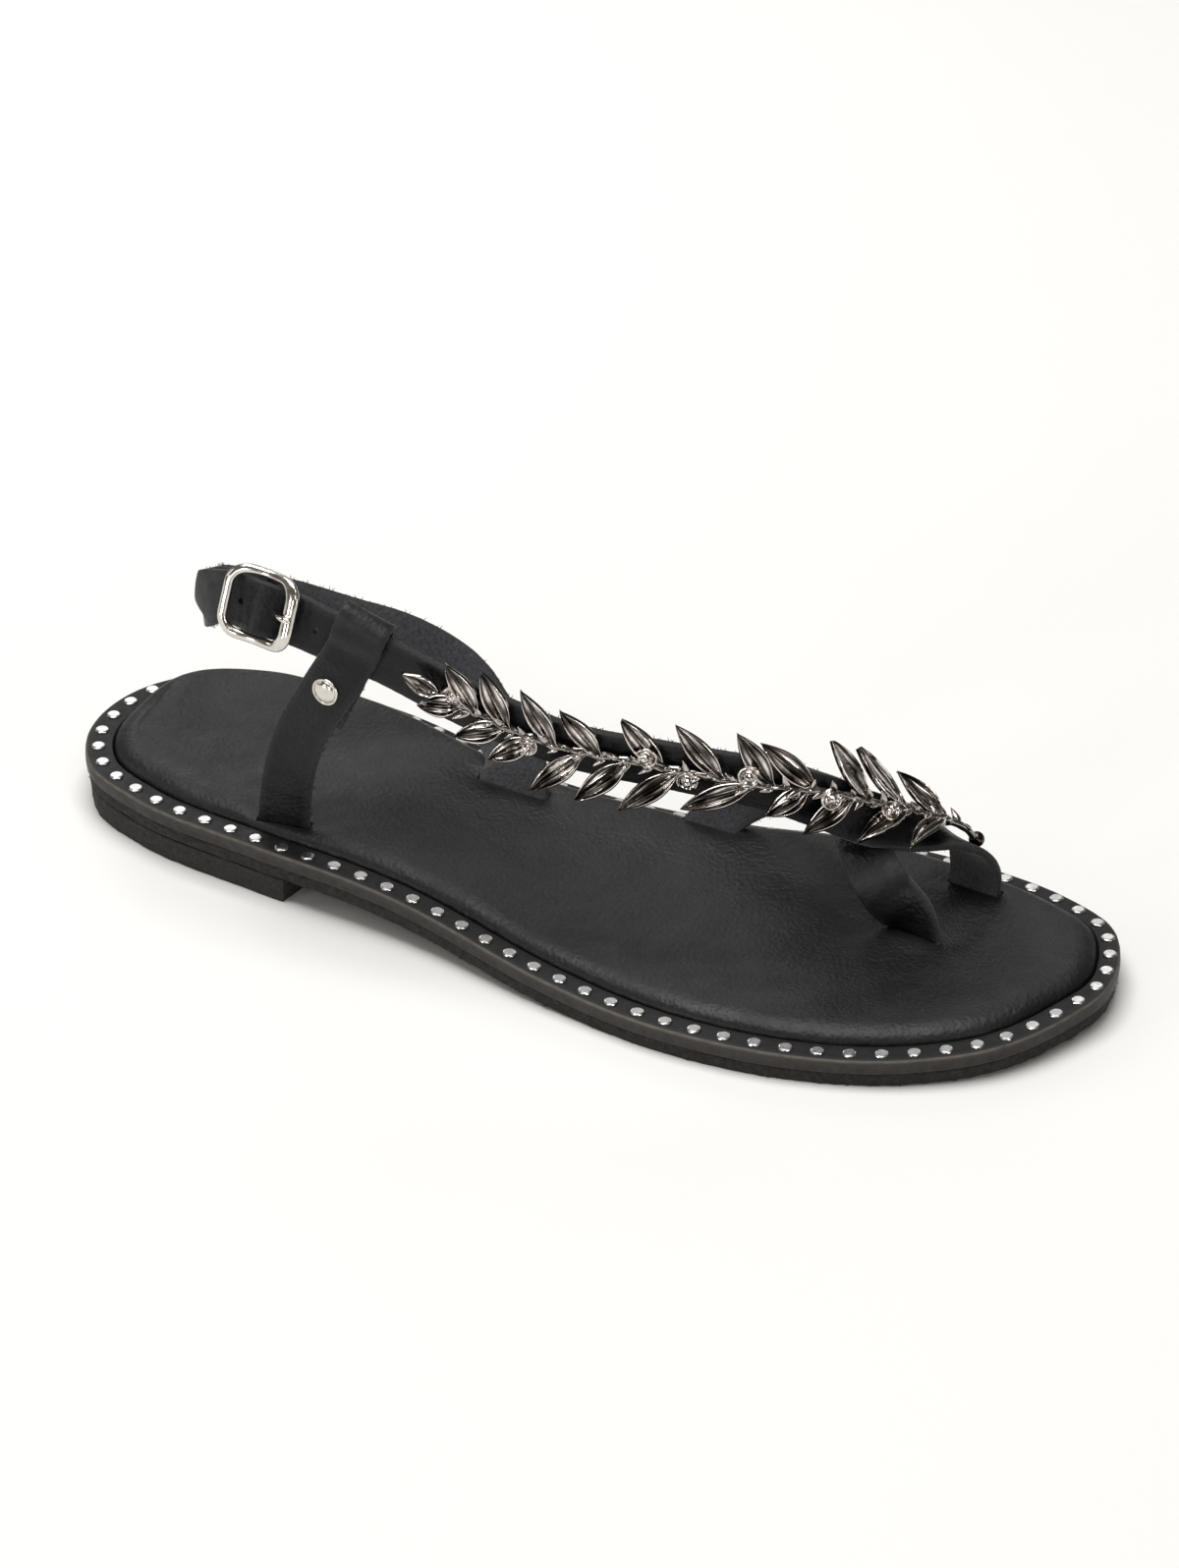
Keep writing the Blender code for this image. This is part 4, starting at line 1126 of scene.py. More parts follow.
def make_outsole():
    """Outsole board: hand-cut edge, roughest along its lower corner."""
    rows = [
        # further inset, height, wander, width of the wander
        (0.5, 0.0, 0.10, 2.0),
        (0.12, 0.1, 0.34, 1.2),
        (0.04, 0.5, 0.24, 1.4),
        (0.0, 1.2, 0.16, 1.8),
        (0.0, 2.3, 0.14, 2.0),
        (0.02, 2.95, 0.10, 2.0),
        (0.2, OUTSOLE_THICK, 0.0, 2.0),
    ]
    rings = [ring(OUTSOLE_INSET + further, *cut) for further, *cut in rows]
    count = len(rings[0])
    faces = ladder(0, count) + grid_faces(len(rings), count) + ladder((len(rings) - 1) * count, count)
    finished(piece("outsole_board", np.concatenate(rings), faces, [SOLE_BOARD]), "sole_leather", "outsole")
    corner = rings[1]
    run = round_run(corner)
    for row in FIBRE_CHANCE.permutation(count)[:count // 2]:
        outwards = np.array([run[row, 1], -run[row, 0], SOLE_FIBRE_RISE])
        grow_fibre(SOLE_FIBRES, corner[row], outwards, run[row], SOLE_FIBRE_DROOP)


def heel_outline(inset):
    """Closed heel outline cut off by the straight breast."""
    flat = sole_outline(inset)
    half = len(flat) // 2
    breast = np.array([HEEL_BREAST_LATERAL, HEEL_BREAST_MEDIAL]) - SOLE_LENGTH / 2
    lateral = flat[:half][flat[:half, 0] < breast[0] - inset]
    medial = flat[half:][flat[half:, 0] < breast[1] - inset]
    corners = [np.array([stop - inset, end[1]]) for stop, end in zip(breast, (lateral[-1], medial[0]))]
    shares = np.linspace(0, 1, HEEL_BREAST_STEPS)[:, None]
    face = corners[0] * (1 - shares) + corners[1] * shares
    return np.concatenate([lateral, face, medial])


def make_heel():
    """Heel block with rounded corners, buffed in level strokes."""
    top = HEEL_HEIGHT - GAP
    rows = [
        # further inset, height, wander
        (0.55, 0.0, 0.08),
        (0.15, 0.12, 0.22),
        (0.03, 0.5, 0.20),
        (0.0, 1.1, 0.16),
        (0.0, 1.8, 0.16),
        (0.0, 2.6, 0.16),
        (0.0, 3.4, 0.16),
        (0.04, 4.3, 0.14),
        (0.14, 4.5, 0.10),
        (0.04, 4.7, 0.14),
        (0.0, top - 0.2, 0.10),
        (0.12, top, 0.05),
    ]
    base = heel_outline(HEEL_INSET)
    inwards = unit(base.mean(axis=0) - base)
    sections = []
    for further, height, wander in rows:
        level = np.column_stack([base, np.full(len(base), height)])
        inset = HEEL_TAPER * (1 - height / top) + further + wander * uneven(level, HEEL_GRIT)
        level[:, :2] += inwards * inset[:, None]
        sections.append(level)
    finished(lofted("heel_block", sections, [HEEL_RUBBER]), "heel_rubber", "heel", crisp=50)


def from_joint(count):
    """Order of an outline's points from the welt's joint all the way round to it."""
    joint = count - WELT_JOINT_STATION * OUTLINE_STEPS
    return (joint + np.arange(count + 1)) % count


def make_welt():
    """Welt strip laid round the sole, its two ends butted at the medial heel quarter."""
    wide = welt_width()
    rows = [
        # inset, height, wander, look of the face that follows, painted highlight: a line along the top
        # corner, fainter paler bands lower down
        (wide, WELT_BASE, 0.0, 1, 0.0),
        (0.30, WELT_BASE, 0.0, 1, 0.0),
        (0.06, WELT_BASE + 0.15, 0.06, 1, 0.3),
        (0.0, WELT_BASE + 0.5, 0.08, 1, 0.0),
        (-0.03, WELT_BASE + 1.7, 0.06, 1, 0.1),
        (0.0, WELT_TOP - 0.75, 0.06, 1, 0.3),
        (0.10, WELT_TOP - 0.32, 0.05, 1, 1.5),
        (0.30, WELT_TOP - 0.09, 0.04, 0, 1.5),
        (0.60, WELT_TOP, 0.03, 0, 0.2),
        (1.8, WELT_TOP + 0.02, 0.0, 0, 0.0),
        (wide * STUD_SHARE, WELT_TOP - 0.04, 0.0, 0, 0.0),
        (wide * 0.73, WELT_TOP + 0.02, 0.0, 0, 0.0),
        (wide - 0.3, WELT_TOP, 0.0, 0, 0.0),
        (wide, WELT_TOP - 0.3, 0.0, 1, 0.0),
    ]
    loops = np.array([ring(inset, height, wander, WELT_GRIT) for inset, height, wander, look, wear_and_sheen in rows])
    sections = loops[:, from_joint(loops.shape[1])].transpose(1, 0, 2).copy()
    for end, inner in ((0, 1), (-1, -2)):
        sections[end] += unit(sections[inner] - sections[end]) * GAP / 2
    strip = lofted("welt_strip", sections, [WELT_FACE, WELT_EDGE], [row[3] for row in rows], cap_look=1)
    # Painted highlight line along the welt's top corner, with fainter paler bands lower down
    set_wear_and_sheen(strip, np.tile([row[4] for row in rows], len(sections)))
    finished(strip, "welt_leather", "welt")


def slit_entry(line, at_end):
    """Where a strap enters the footbed, with its width and outward directions in plan."""
    along = np.linspace(0.0, SLIT_REACH, SLIT_READS)
    points, run, across, out = line.frame(line.length - along if at_end else along)
    above = points[:, 2] - sole_lift(points[:, 0]) - WELT_TOP - INSOLE_CROWN + INSOLE_DISH / 2
    place = np.argmin(np.abs(above))
    return points[place, :2], unit(across[place, :2]), unit(out[place, :2])


SLITS = [
    # strap, whether its last end is meant, strap width there
    (LONG_LINE, False, STRAP_WIDTH),
    (LONG_LINE, True, HEEL_FOOT_WIDTH),
    (BAND_LINE, False, STRAP_WIDTH),
    (BAND_LINE, True, STRAP_WIDTH),
    (UPRIGHT_LINE, False, STRAP_WIDTH),
]


def footbed_sag(points):
    """How far the footbed's top lies below its crown: pressed troughs, and dimples where straps pull it."""
    plan = points[:, :2]
    sag = np.zeros(len(points))
    for place, x, y, turn, half_length, half_width, depth in FOOTBED_TROUGHS:
        a = math.radians(turn)
        away = plan - (x, y)
        long = (away @ (math.cos(a), math.sin(a))) / half_length
        wide = (away @ (-math.sin(a), math.cos(a))) / half_width
        sag += depth * np.exp(-long**2 - wide**2)
    for line, at_end, width in SLITS:
        centre, across, out = slit_entry(line, at_end)
        away = plan - centre
        beside = np.maximum(np.abs(away @ across) - width / 2, 0.0)
        sag += SLIT_DIMPLE_DEPTH * np.exp(-(beside**2 + (away @ out)**2) / SLIT_DIMPLE_WIDTH**2)
    return sag


def slit_cutter(line, at_end, width):
    """Block that opens a slit round the end of a strap."""
    start = line.length - SLIT_REACH if at_end else 0.0
    points, run, across, out = line.frame(line.spaced(start, start + SLIT_REACH, SLIT_STEP))
    side = across * (width / 2 + SLIT_GAP)
    face = out * (STRAP_THICK / 2 + SLIT_GAP)
    corners = np.stack([points + side + face, points - side + face,
                        points - side - face, points + side - face], axis=1)
    return lofted("slit", corners, [FOOTBED_CALF, CUT_EDGE], [1] * 4, cap_look=1)


def make_footbed():
    """Padded footbed: wall inside the welt, plump rolled edge, dished top with dimpled slits."""
    wall = welt_width() + GAP
    crown = insole_crown(sole_outline(wall))
    seat = WELT_TOP - GAP
    rings = [ring(wall, WELT_BASE), ring(wall, seat - WALL_STRAIGHT), ring(wall + WALL_LEAN, seat)]
    for angle in np.radians(np.linspace(ROLL_START, 90, ROLL_STEPS)):
        share = 1 - math.cos(angle)
        rise = crown * math.sin(angle)
        rings.append(ring(wall + WALL_LEAN + INSOLE_ROUND * share, seat + rise + GAP * share))
    count = len(rings[0])
    shares = ((np.arange(FOOTBED_COLUMNS) + 1) / (FOOTBED_COLUMNS + 1))[:, None]
    edge = rings[-1][:, :2]
    points = list(np.concatenate(rings))
    columns = []
    for row in range(1, count // 2):
        lateral, medial = rings[-1][row], rings[-1][count - row]
        columns.append(list(range(len(points), len(points) + FOOTBED_COLUMNS)))
        line = lateral * (1 - shares) + medial * shares
        from_edge = np.linalg.norm(line[:, None, :2] - edge, axis=2).min(axis=1)
        line[:, 2] -= INSOLE_DISH * smooth_step(from_edge / DISH_REACH)
        points.extend(line)
    points = np.array(points)
    soft = smooth_step((points[:, 2] - sole_lift(points[:, 0]) - WELT_TOP) / INSOLE_CROWN)
    points[:, 2] -= soft * footbed_sag(points)
    points[:, 2] += soft * FOOTBED_WAVE * uneven(points, FOOTBED_WAVE_WIDTH)
    top = (len(rings) - 1) * count
    faces = ladder(0, count) + grid_faces(len(rings), count) + ladder(top, count, columns)
    pad = piece("footbed_pad", points, faces, [FOOTBED_CALF, CUT_EDGE])
    combine(pad, joined("slits", [slit_cutter(*slit) for slit in SLITS]))
    finished(pad, "insole_leather", "insole", crisp=50)


# Straps

GRAIN, FLESH, EDGE = range(3)
STRAP_LOOKS = [GRAIN_LEATHER, FLESH_SUEDE, CUT_EDGE]
SHOULDER = 0.45
SHOULDER_WEAR = 0.5
LOWER_CORNER = 0.2
GRAIN_CROWN = 0.12
NAP = 0.06
NAP_WIDTH = 1.1
NAP_SHIFT = 7.0
RAW_EDGE = 1.3 * NAP
RAW_EDGE_WIDTH = 0.9


def strap_profile():
    """Rows round a strap's cut: share of half width, mm beyond it, share of half thickness, mm beyond it,
    look of the face that follows, wear."""
    slant = math.sqrt(0.5)
    rows = [(share, -share * SHOULDER, 1, GRAIN_CROWN * (1 - share**2), GRAIN,
             SHOULDER_WEAR * (abs(share) == 1)) for share in np.linspace(1, -1, 9)]
    rows += [(-1, SHOULDER * (1 - slant), 1, SHOULDER * (slant - 1), EDGE, 1.0),
             (-1, 0.0, 1, -SHOULDER, EDGE, 1.0),
             (-1, 0.0, -1, LOWER_CORNER, EDGE, 0.0),
             (-1, LOWER_CORNER, -1, 0.0, FLESH, 0.0)]
    rows += [(share, 0.0, -1, 0.0, FLESH, 0.0) for share in np.linspace(-0.7, 0.7, 5)]
    rows += [(1, -LOWER_CORNER, -1, 0.0, EDGE, 0.0),
             (1, 0.0, -1, LOWER_CORNER, EDGE, 0.0),
             (1, 0.0, 1, -SHOULDER, EDGE, 1.0),
             (1, SHOULDER * (slant - 1), 1, SHOULDER * (slant - 1), GRAIN, 1.0)]
    return rows


def leather_strip(name, centres, across, widths, thicks, creases, rubs_and_sheen=()):
    """Leather strip: crowned grain face, rounded shoulders, napped flesh side, creases, rubbed wear and
    painted sheen on its bends.
    """
    run = unit(np.gradient(centres, axis=0))
    across = square_to(across, run)
    out = np.cross(across, run)
    along = chord_knots(centres)
    share, beyond, deep, proud, looks, wear_and_sheen = (np.array(column) for column in zip(*strap_profile()))
    half_wide, half_thick = (np.broadcast_to(size, len(centres)) / 2 for size in (widths, thicks))
    wide = np.outer(half_wide, share) + beyond
    high = np.outer(half_thick, deep) + proud
    for place, depth, half_width, lean in creases:
        high -= depth * bell(along[:, None] - lean * wide, place, half_width)
    points = centres[:, None] + across[:, None] * wide[..., None] + out[:, None] * high[..., None]
    raw = (wear_and_sheen != SHOULDER_WEAR) & ((looks == EDGE) | (np.roll(looks, 1) == EDGE))
    napped = (looks == FLESH) | (np.roll(looks, 1) == FLESH)
    points += across[:, None] * (raw * np.sign(share) * RAW_EDGE * uneven(points, RAW_EDGE_WIDTH))[..., None]
    points -= out[:, None] * (napped * NAP * uneven(points, NAP_WIDTH, NAP_SHIFT))[..., None]
    corners = np.flatnonzero((looks == EDGE) & (deep < 0))
    for row in FIBRE_CHANCE.permutation(len(centres))[:int(along[-1] / FIBRE_PITCH)]:
        for corner in corners:
            outwards = across[row] * np.sign(share[corner])
            grow_fibre(STRAP_FIBRES, points[row, corner], outwards, run[row], -out[row])
    wear_and_sheen = np.tile(wear_and_sheen, (len(centres), 1))
    # Paler grain along the strap: rubbed wear on the tail, painted sheen on the bends
    for place, amount, half_width in rubs_and_sheen:
        wear_and_sheen = np.maximum(wear_and_sheen, amount * bell(along, place, half_width)[:, None] * (deep > 0))
    return set_wear_and_sheen(lofted(name, points, STRAP_LOOKS, looks.tolist(), cap_look=EDGE), wear_and_sheen.ravel())


def woven(past):
    """Depth of the long strap outside its line, at distances past the buckle's centre bar."""
    rows = np.array(LONG_WEAVE)
    return curve_at(rows[:, 0], rows[:, 1:], np.clip(past, rows[0, 0], rows[-1, 0]))


def long_strap():
    """Long strap from the toe through keeper and buckle to its pointed tail."""
    end = BUCKLE_BAR + LONG_WEAVE[-1][0]
    along = np.concatenate([LONG_LINE.spaced(0.0, end - TAIL_POINT),
                            LONG_LINE.spaced(end - TAIL_POINT, end, FOLD_STEP)[1:]])
    points, run, across, out = LONG_LINE.frame(along)
    taper = TAIL_TIP_SHARE + (1 - TAIL_TIP_SHARE) * (end - along) / TAIL_POINT
    widths = STRAP_WIDTH * np.clip(taper, TAIL_TIP_SHARE, 1.0)
    return leather_strip("long strap", points + out * woven(along - BUCKLE_BAR), across, widths, STRAP_THICK,
                         LONG_STRAP_CREASES, LONG_STRAP_RUBS)


def plain_strap(name, line, step, creases, rubs_and_sheen):
    """Strap of one width along the whole of its line."""
    points, run, across, out = line.frame(line.spaced(0.0, line.length, step))
    return leather_strip(name, points, across, STRAP_WIDTH, STRAP_THICK, creases, rubs_and_sheen)


def make_heel_strap():
    """Heel strap: turned-back layer, fold round the centre bar, then the run round the heel."""
    weave = np.array(HEEL_WEAVE)
    knots = chord_knots(weave[:, :2])
    folded = curve_at(knots, weave, np.linspace(0.0, knots[-1], HEEL_FOLD_STEPS))
    points, run, across, out = LONG_LINE.frame(BUCKLE_BAR + folded[:, 0])
    start = points + out * folded[:, 1:2]
    along = LONG_LINE.spaced(BUCKLE_BAR + weave[-1, 0], LONG_LINE.length)[1:]
    points, run, across_run, out = LONG_LINE.frame(along)
    centres = np.concatenate([start, points])
    to_end = LONG_LINE.length - np.concatenate([np.full(len(start), BUCKLE_BAR), along])
    flare = smooth_step((HEEL_FOOT_START - to_end) / (HEEL_FOOT_START - HEEL_FOOT_END))
    widths = STRAP_WIDTH + (HEEL_FOOT_WIDTH - STRAP_WIDTH) * flare
    thicks = np.concatenate([folded[:, 2], np.full(len(points), HEEL_STRAP_THICK)])
    strap = leather_strip("heel_strap_leather", centres, np.concatenate([across, across_run]),
                          widths, thicks, HEEL_STRAP_CREASES)
    finished(strap, "strap_leather", "heel_strap", crisp=60)


def make_upper():
    """The long strap with its punched holes, the toe band and the side upright with its keeper fold."""
    strap = long_strap()
    for past in STRAP_HOLES_PAST:
        point, run, across, out = LONG_LINE.at(BUCKLE_BAR + past)
        centre = point + out * woven(np.array([past]))[0]
        reach = STRAP_THICK
        profile = [(0.0, reach), (STRAP_HOLE_RADIUS, reach), (STRAP_HOLE_RADIUS, -reach), (0.0, -reach)]
        hole = turned("hole", profile, centre, out, STRAP_LOOKS, sides=20)
        hole.data.polygons.foreach_set("material_index", [EDGE] * len(hole.data.polygons))
        combine(strap, hole)
    band = plain_strap("toe band", BAND_LINE, STRAP_STEP, TOE_BAND_CREASES, TOE_BAND_PAINTED_SHEEN)
    upright = plain_strap("upright", UPRIGHT_LINE, FOLD_STEP, UPRIGHT_CREASES, UPRIGHT_PAINTED_SHEEN)
    finished(joined("strap_upper", [strap, band, upright]), "strap_leather", "upper", crisp=60)


# Buckle and rivets

def rounded_rectangle(half_length, half_width, corner):
    """Closed loop of four round corners with evenly divided sides between them."""
    arcs = []
    for turn, (end, side) in enumerate(((1, 1), (-1, 1), (-1, -1), (1, -1))):
        angle = np.radians(90 * turn + np.linspace(0, 90, BUCKLE_CORNER_STEPS))
        middle = np.array([end * (half_length - corner), side * (half_width - corner)])
        arcs.append(middle + corner * np.column_stack([np.cos(angle), np.sin(angle)]))
    shares = ((np.arange(BUCKLE_SIDE_STEPS) + 1) / (BUCKLE_SIDE_STEPS + 1))[:, None]
    loop = []
    for arc, following in zip(arcs, [*arcs[1:], arcs[0]]):
        loop += [arc, arc[-1] * (1 - shares) + following[0] * shares]
    return np.concatenate(loop)


def make_buckle_frame():
    """Bowed rectangular wire frame, broad at the prong's end, with its centre bar."""
    centre, run, across, out = LONG_LINE.at(BUCKLE_BAR)
    half_length = BUCKLE_LENGTH / 2 - BUCKLE_WIRE
    half_width = BUCKLE_WIDTH / 2 - BUCKLE_WIRE
    loop = rounded_rectangle(half_length, half_width, BUCKLE_CORNER)
    to_end = loop[:, 0] / half_length
    depth = BUCKLE_END_DEPTH - (BUCKLE_END_DEPTH - BUCKLE_SIDE_DEPTH) * (1 - to_end**2)
    path = centre + run * loop[:, :1] + across * loop[:, 1:] + out * depth[:, None]
    swell = 1.0 + BUCKLE_SWELL * smooth_step((-to_end - BUCKLE_SWELL_START) / BUCKLE_SWELL_RUN)
    radii = BUCKLE_WIRE * np.column_stack([np.full(len(path), BUCKLE_WIRE_DEEP), BUCKLE_WIRE_BROAD * swell])
    wire = rod("buckle_frame_wire", path, out, radii, sides=20, looks=[NICKEL], closed=True)
    ends = np.array([centre + across * half_width * share for share in np.linspace(-1, 1, 9)])
    combine(wire, rod("bar", ends, run, BUCKLE_BAR_RADIUS, sides=18, looks=[NICKEL]), "UNION")
    finished(wire, "nickel", "buckle_frame", crisp=50)


def make_buckle_prong():
    """Prong hooked on the centre bar, with a blunt tip."""
    centre, run, across, out = LONG_LINE.at(BUCKLE_BAR)
    rows = np.array(PRONG_PATH)
    knots = chord_knots(rows)
    at = np.linspace(0.0, knots[-1], PRONG_STEPS)
    steps = curve_at(knots, rows, at)
    path = centre + run * steps[:, :1] + out * steps[:, 1:]
    to_tip = np.clip((knots[-1] - at) / PRONG_POINT, 0.0, 1.0)
    blunt = PRONG_RADIUS * (PRONG_TIP + (1 - PRONG_TIP) * np.sqrt(to_tip * (2 - to_tip)))
    radii = np.column_stack([blunt * PRONG_BROAD, blunt])
    prong = rod("buckle_prong_pin", path, across, radii, sides=16, looks=[NICKEL])
    finished(prong, "nickel", "buckle_prong", crisp=50)


def rivet(name, node, centre, axis, front, back, rise):
    """Tubular rivet: domed cap with a thin rolled rim, and a dished ring with the open tube behind."""
    seat = front + CAP_SEAT
    cap = dome(CAP_RADIUS - DOME_INSET, DOME_RISE_SHARE * rise, seat + DOME_SEAT)
    rim = [(CAP_RADIUS - inside, seat + height) for inside, height in CAP_RIM]
    shank = [(SHANK_RADIUS, rim[-1][1]), (SHANK_RADIUS, back)]
    behind = [(radius, back - depth) for radius, depth in RIVET_BACK]
    profile = [*cap, *rim, *shank, *behind]
    finished(turned(name, profile, centre, axis, [NICKEL]), "nickel", node, crisp=45)


def make_rivets():
    """Rivet through the upright below its keeper, and rivet through the heel strap's fold."""
    point, run, across, out = UPRIGHT_LINE.at(UPRIGHT_LINE.distance("rivet"))
    rivet("upright_rivet_cap", "upright_rivet", point, out, STRAP_THICK / 2, UPRIGHT_RIVET_BACK, CAP_RISE)
    point, run, across, out = LONG_LINE.at(BUCKLE_BAR + HEEL_RIVET_PAST)
    rivet("heel_strap_rivet_ring", "heel_strap_rivet", point, out, HEEL_RIVET_FRONT, HEEL_RIVET_BACK,
          HEEL_RIVET_RISE)


# Leaf spray

def stem_frame(along):
    """Stem centre line on the grain side of the strap, with the strap's directions."""
    rows = np.array(STEM_SWAY)
    points, run, across, out = LONG_LINE.frame(along)
    sway = curve_at(rows[:, 0], rows[:, 1:], np.atleast_1d(np.asarray(along, dtype=float)))
    depth = STRAP_THICK / 2 + GAP + STEM_RADIUS + sway[:, 1:]
    return points + across * sway[:, :1] + out * depth, run, across, out


def stem_at(along):
    """Stem point and directions at one distance."""
    return [values[0] for values in stem_frame(along)]


def leaf_relief(share, side):
    """Height in mm of a leaf's upper face: hollow halves between a rolled rim and a sharp middle rib."""
    reach = np.abs(side)
    body = np.sin(np.pi * np.clip(share, 0.03, 0.97))**0.4
    forms = sum(height * bell(reach, place, half_width) for form, height, place, half_width in LEAF_RELIEF)
    waves = np.sin(8 * share + 3 * side)
    ripple = LEAF_RIPPLE * waves * bell(reach, LEAF_RIPPLE_PLACE, LEAF_RIPPLE_WIDTH)
    stalk = LEAF_STALK * bell(share, 0.0, LEAF_STALK_SHARE)
    return LEAF_THICK + body * (forms + ripple) - LEAF_EDGE_FALL * side**6 * body + stalk


def leaf_painted_highlight(share, side, painted_streak_start):
    """Painted highlight on the plating: a line along the rim and the rib, broken streaks in the hollows."""
    reach = np.abs(side)
    lines = sum(bright * bell(reach, place, half_width) for line, bright, place, half_width in LEAF_PAINTED_LINES)
    patches = np.sin(5.0 * share + painted_streak_start + 1.3 * np.sign(side))**2
    painted_streaks = LEAF_PAINTED_STREAK * patches * bell(reach, LEAF_PAINTED_STREAK_PLACE, LEAF_PAINTED_STREAK_WIDTH)
    return lines + painted_streaks * np.sin(np.pi * share)**0.5


def leaf_template(bend, twist, painted_streak_start):
    """One cast leaf along +X with its painted highlights: length and width are shares, height is in mm; bend
    and twist curl it.
    """
    stations = np.array(LEAF_STATIONS)
    share = np.linspace(0.0, 1.0, LEAF_ROWS)
    width = curve_at(stations[:, 0], stations[:, 1:], share)

    def face(columns):
        side = np.sin(np.linspace(-1, 1, columns) * math.pi / 2)
        s, t = np.meshgrid(share, side, indexing="ij")
        return s, t, t * width / 2, bend * np.maximum(s - LEAF_BEND_START, 0.0)**2 + twist * t * s

    s, t, flat, curled = face(LEAF_COLUMNS)
    upper = np.stack([s, flat, leaf_relief(s, t) + curled], axis=-1)
    # Painted highlight on the leaf's upper face; none underneath
    painted_highlight = leaf_painted_highlight(s, t, painted_streak_start)
    s, t, flat, curled = face(LEAF_BACK_COLUMNS)
    lower = np.stack([s, flat * LEAF_BACK_SHARE, curled - LEAF_BACK_HOLLOW * (1 - t**2)], axis=-1)
    sections = np.concatenate([upper, lower[:, ::-1]], axis=1)
    painted_highlight = np.concatenate([painted_highlight, np.zeros(lower.shape[:2])], axis=1)
    return set_wear_and_sheen(lofted("leaf", sections / MM, [BLACK_NICKEL]), painted_highlight.ravel())


def leaf_rows():
    """Every leaf, with 1 for the upper side of the stem and -1 for the lower."""
    return [(1, *row) for row in UPPER_LEAVES] + [(-1, *row) for row in LOWER_LEAVES]


def leaf_axes(side, at, swing, lift):
    """A leaf's foot on the stem and its own directions: to its tip, across it and out of its face."""
    base, forward, beside, up = stem_at(at)
    swing, lift = math.radians(swing), math.radians(lift)
    upper_roll = TOE_LEAF_ROLL if at < TOE_LEAF_BEFORE else UPPER_ROLL
    roll = math.radians(upper_roll if side > 0 else LOWER_ROLL)
    flat = forward * math.cos(swing) + beside * side * math.sin(swing)
    tip = flat * math.cos(lift) + up * math.sin(lift)
    top = up * math.cos(lift) - flat * math.sin(lift)
    top = square_to(top * math.cos(roll) + square_to(beside, tip) * math.sin(roll), tip)
    return base, (tip, np.cross(top, tip), top)


def spray_stem():
    """Stem with a knuckle at each leaf."""
    along = LONG_LINE.spaced(STEM_SWAY[0][0], STEM_SWAY[-1][0], STEM_STEP)
    centres, run, across, out = stem_frame(along)
    knuckles = sum(bell(along, row[1] + KNUCKLE_PAST, KNUCKLE_WIDTH) for row in leaf_rows())
    share = STEM_THIN + KNUCKLE_SWELL * np.minimum(knuckles, KNUCKLE_MOST)
    radius = STEM_RADIUS * (share + STEM_UNEVEN * uneven(centres, STEM_UNEVEN_WIDTH))
    stem = rod("stem", centres, across, radius[:, None], sides=14, looks=[BLACK_NICKEL])
    # Painted highlight over the whole stem
    return set_wear_and_sheen(stem, STEM_PAINTED_HIGHLIGHT)


def spray_leaves():
    """Leaves of every casting; the last casting droops and is kept for the lower leaves at the toe."""
    castings = {}
    droopy = len(LEAF_CURLS) - 1
    for number, (side, at, length, swing, lift) in enumerate(leaf_rows()):
        kind = droopy if side < 0 and at < DROOP_BEFORE else number % droopy
        base, axes = leaf_axes(side, at, swing, lift)
        castings.setdefault(kind, []).append((base, axes, (length * MM, LEAF_WIDTH * MM, MM)))
    leaves = []
    for kind, chosen in castings.items():
        casting = leaf_template(*LEAF_CURLS[kind])
        placed = zip(*chosen)
        leaves.append(copies(f"leaves {kind}", casting, *placed, BLACK_NICKEL, tilt=0.06, seed=11 + kind))
    return leaves


def jump(number, stride, count):
    """Share from 0 to 1 that jumps about from number to number and repeats after count of them."""
    return number * stride % count / (count - 1)


def spray_buds():
    """Small pointed buds along the stem, to either side in turn."""
    rows = []
    start, end = STEM_SWAY[0][0] + BUD_START, STEM_SWAY[-1][0] - BUD_END
    for number, at in enumerate(np.arange(start, end, BUD_PITCH)):
        base, forward, beside, up = stem_at(at)
        beside = beside * (1 if number % 2 else -1)
        lean = math.radians(BUD_LEAN + BUD_LEAN_SPREAD * jump(number, 7, 5))
        point = forward * math.cos(lean) + beside * math.sin(lean)
        point = unit(point + up * (BUD_RISE + BUD_RISE_SPREAD * jump(number, 3, 4)))
        face = square_to(up, point)
        size = BUD_SIZE * (1.0 + BUD_SIZE_SPREAD * jump(number, 5, 7)) * MM
        rows.append((base + up * BUD_LIFT + beside * BUD_BESIDE, (point, np.cross(face, point), face), size))
    # Painted highlight over every bud
    bud = set_wear_and_sheen(turned_template("bud", BUD_PROFILE, (1, 0, 0), BLACK_NICKEL, sides=10), BUD_PAINTED_HIGHLIGHT)
    return copies("buds", bud, *zip(*rows), BLACK_NICKEL, tilt=0.25, seed=23)


def tendril(centre, first, second, sweep):
    """Tendril that curls round a berry and thins to its end."""
    angle = np.radians(np.linspace(0.0, sweep, TENDRIL_STEPS))[:, None]
    path = centre + TENDRIL_REACH * (np.cos(angle) * first + np.sin(angle) * second)
    radius = TENDRIL_RADIUS * np.linspace(1.0, TENDRIL_END, TENDRIL_STEPS)
    wire = rod("tendril", path, np.cross(first, second), radius[:, None], sides=10, looks=[BLACK_NICKEL])
    # Painted highlight over the whole tendril
    return set_wear_and_sheen(wire, TENDRIL_PAINTED_HIGHLIGHT)


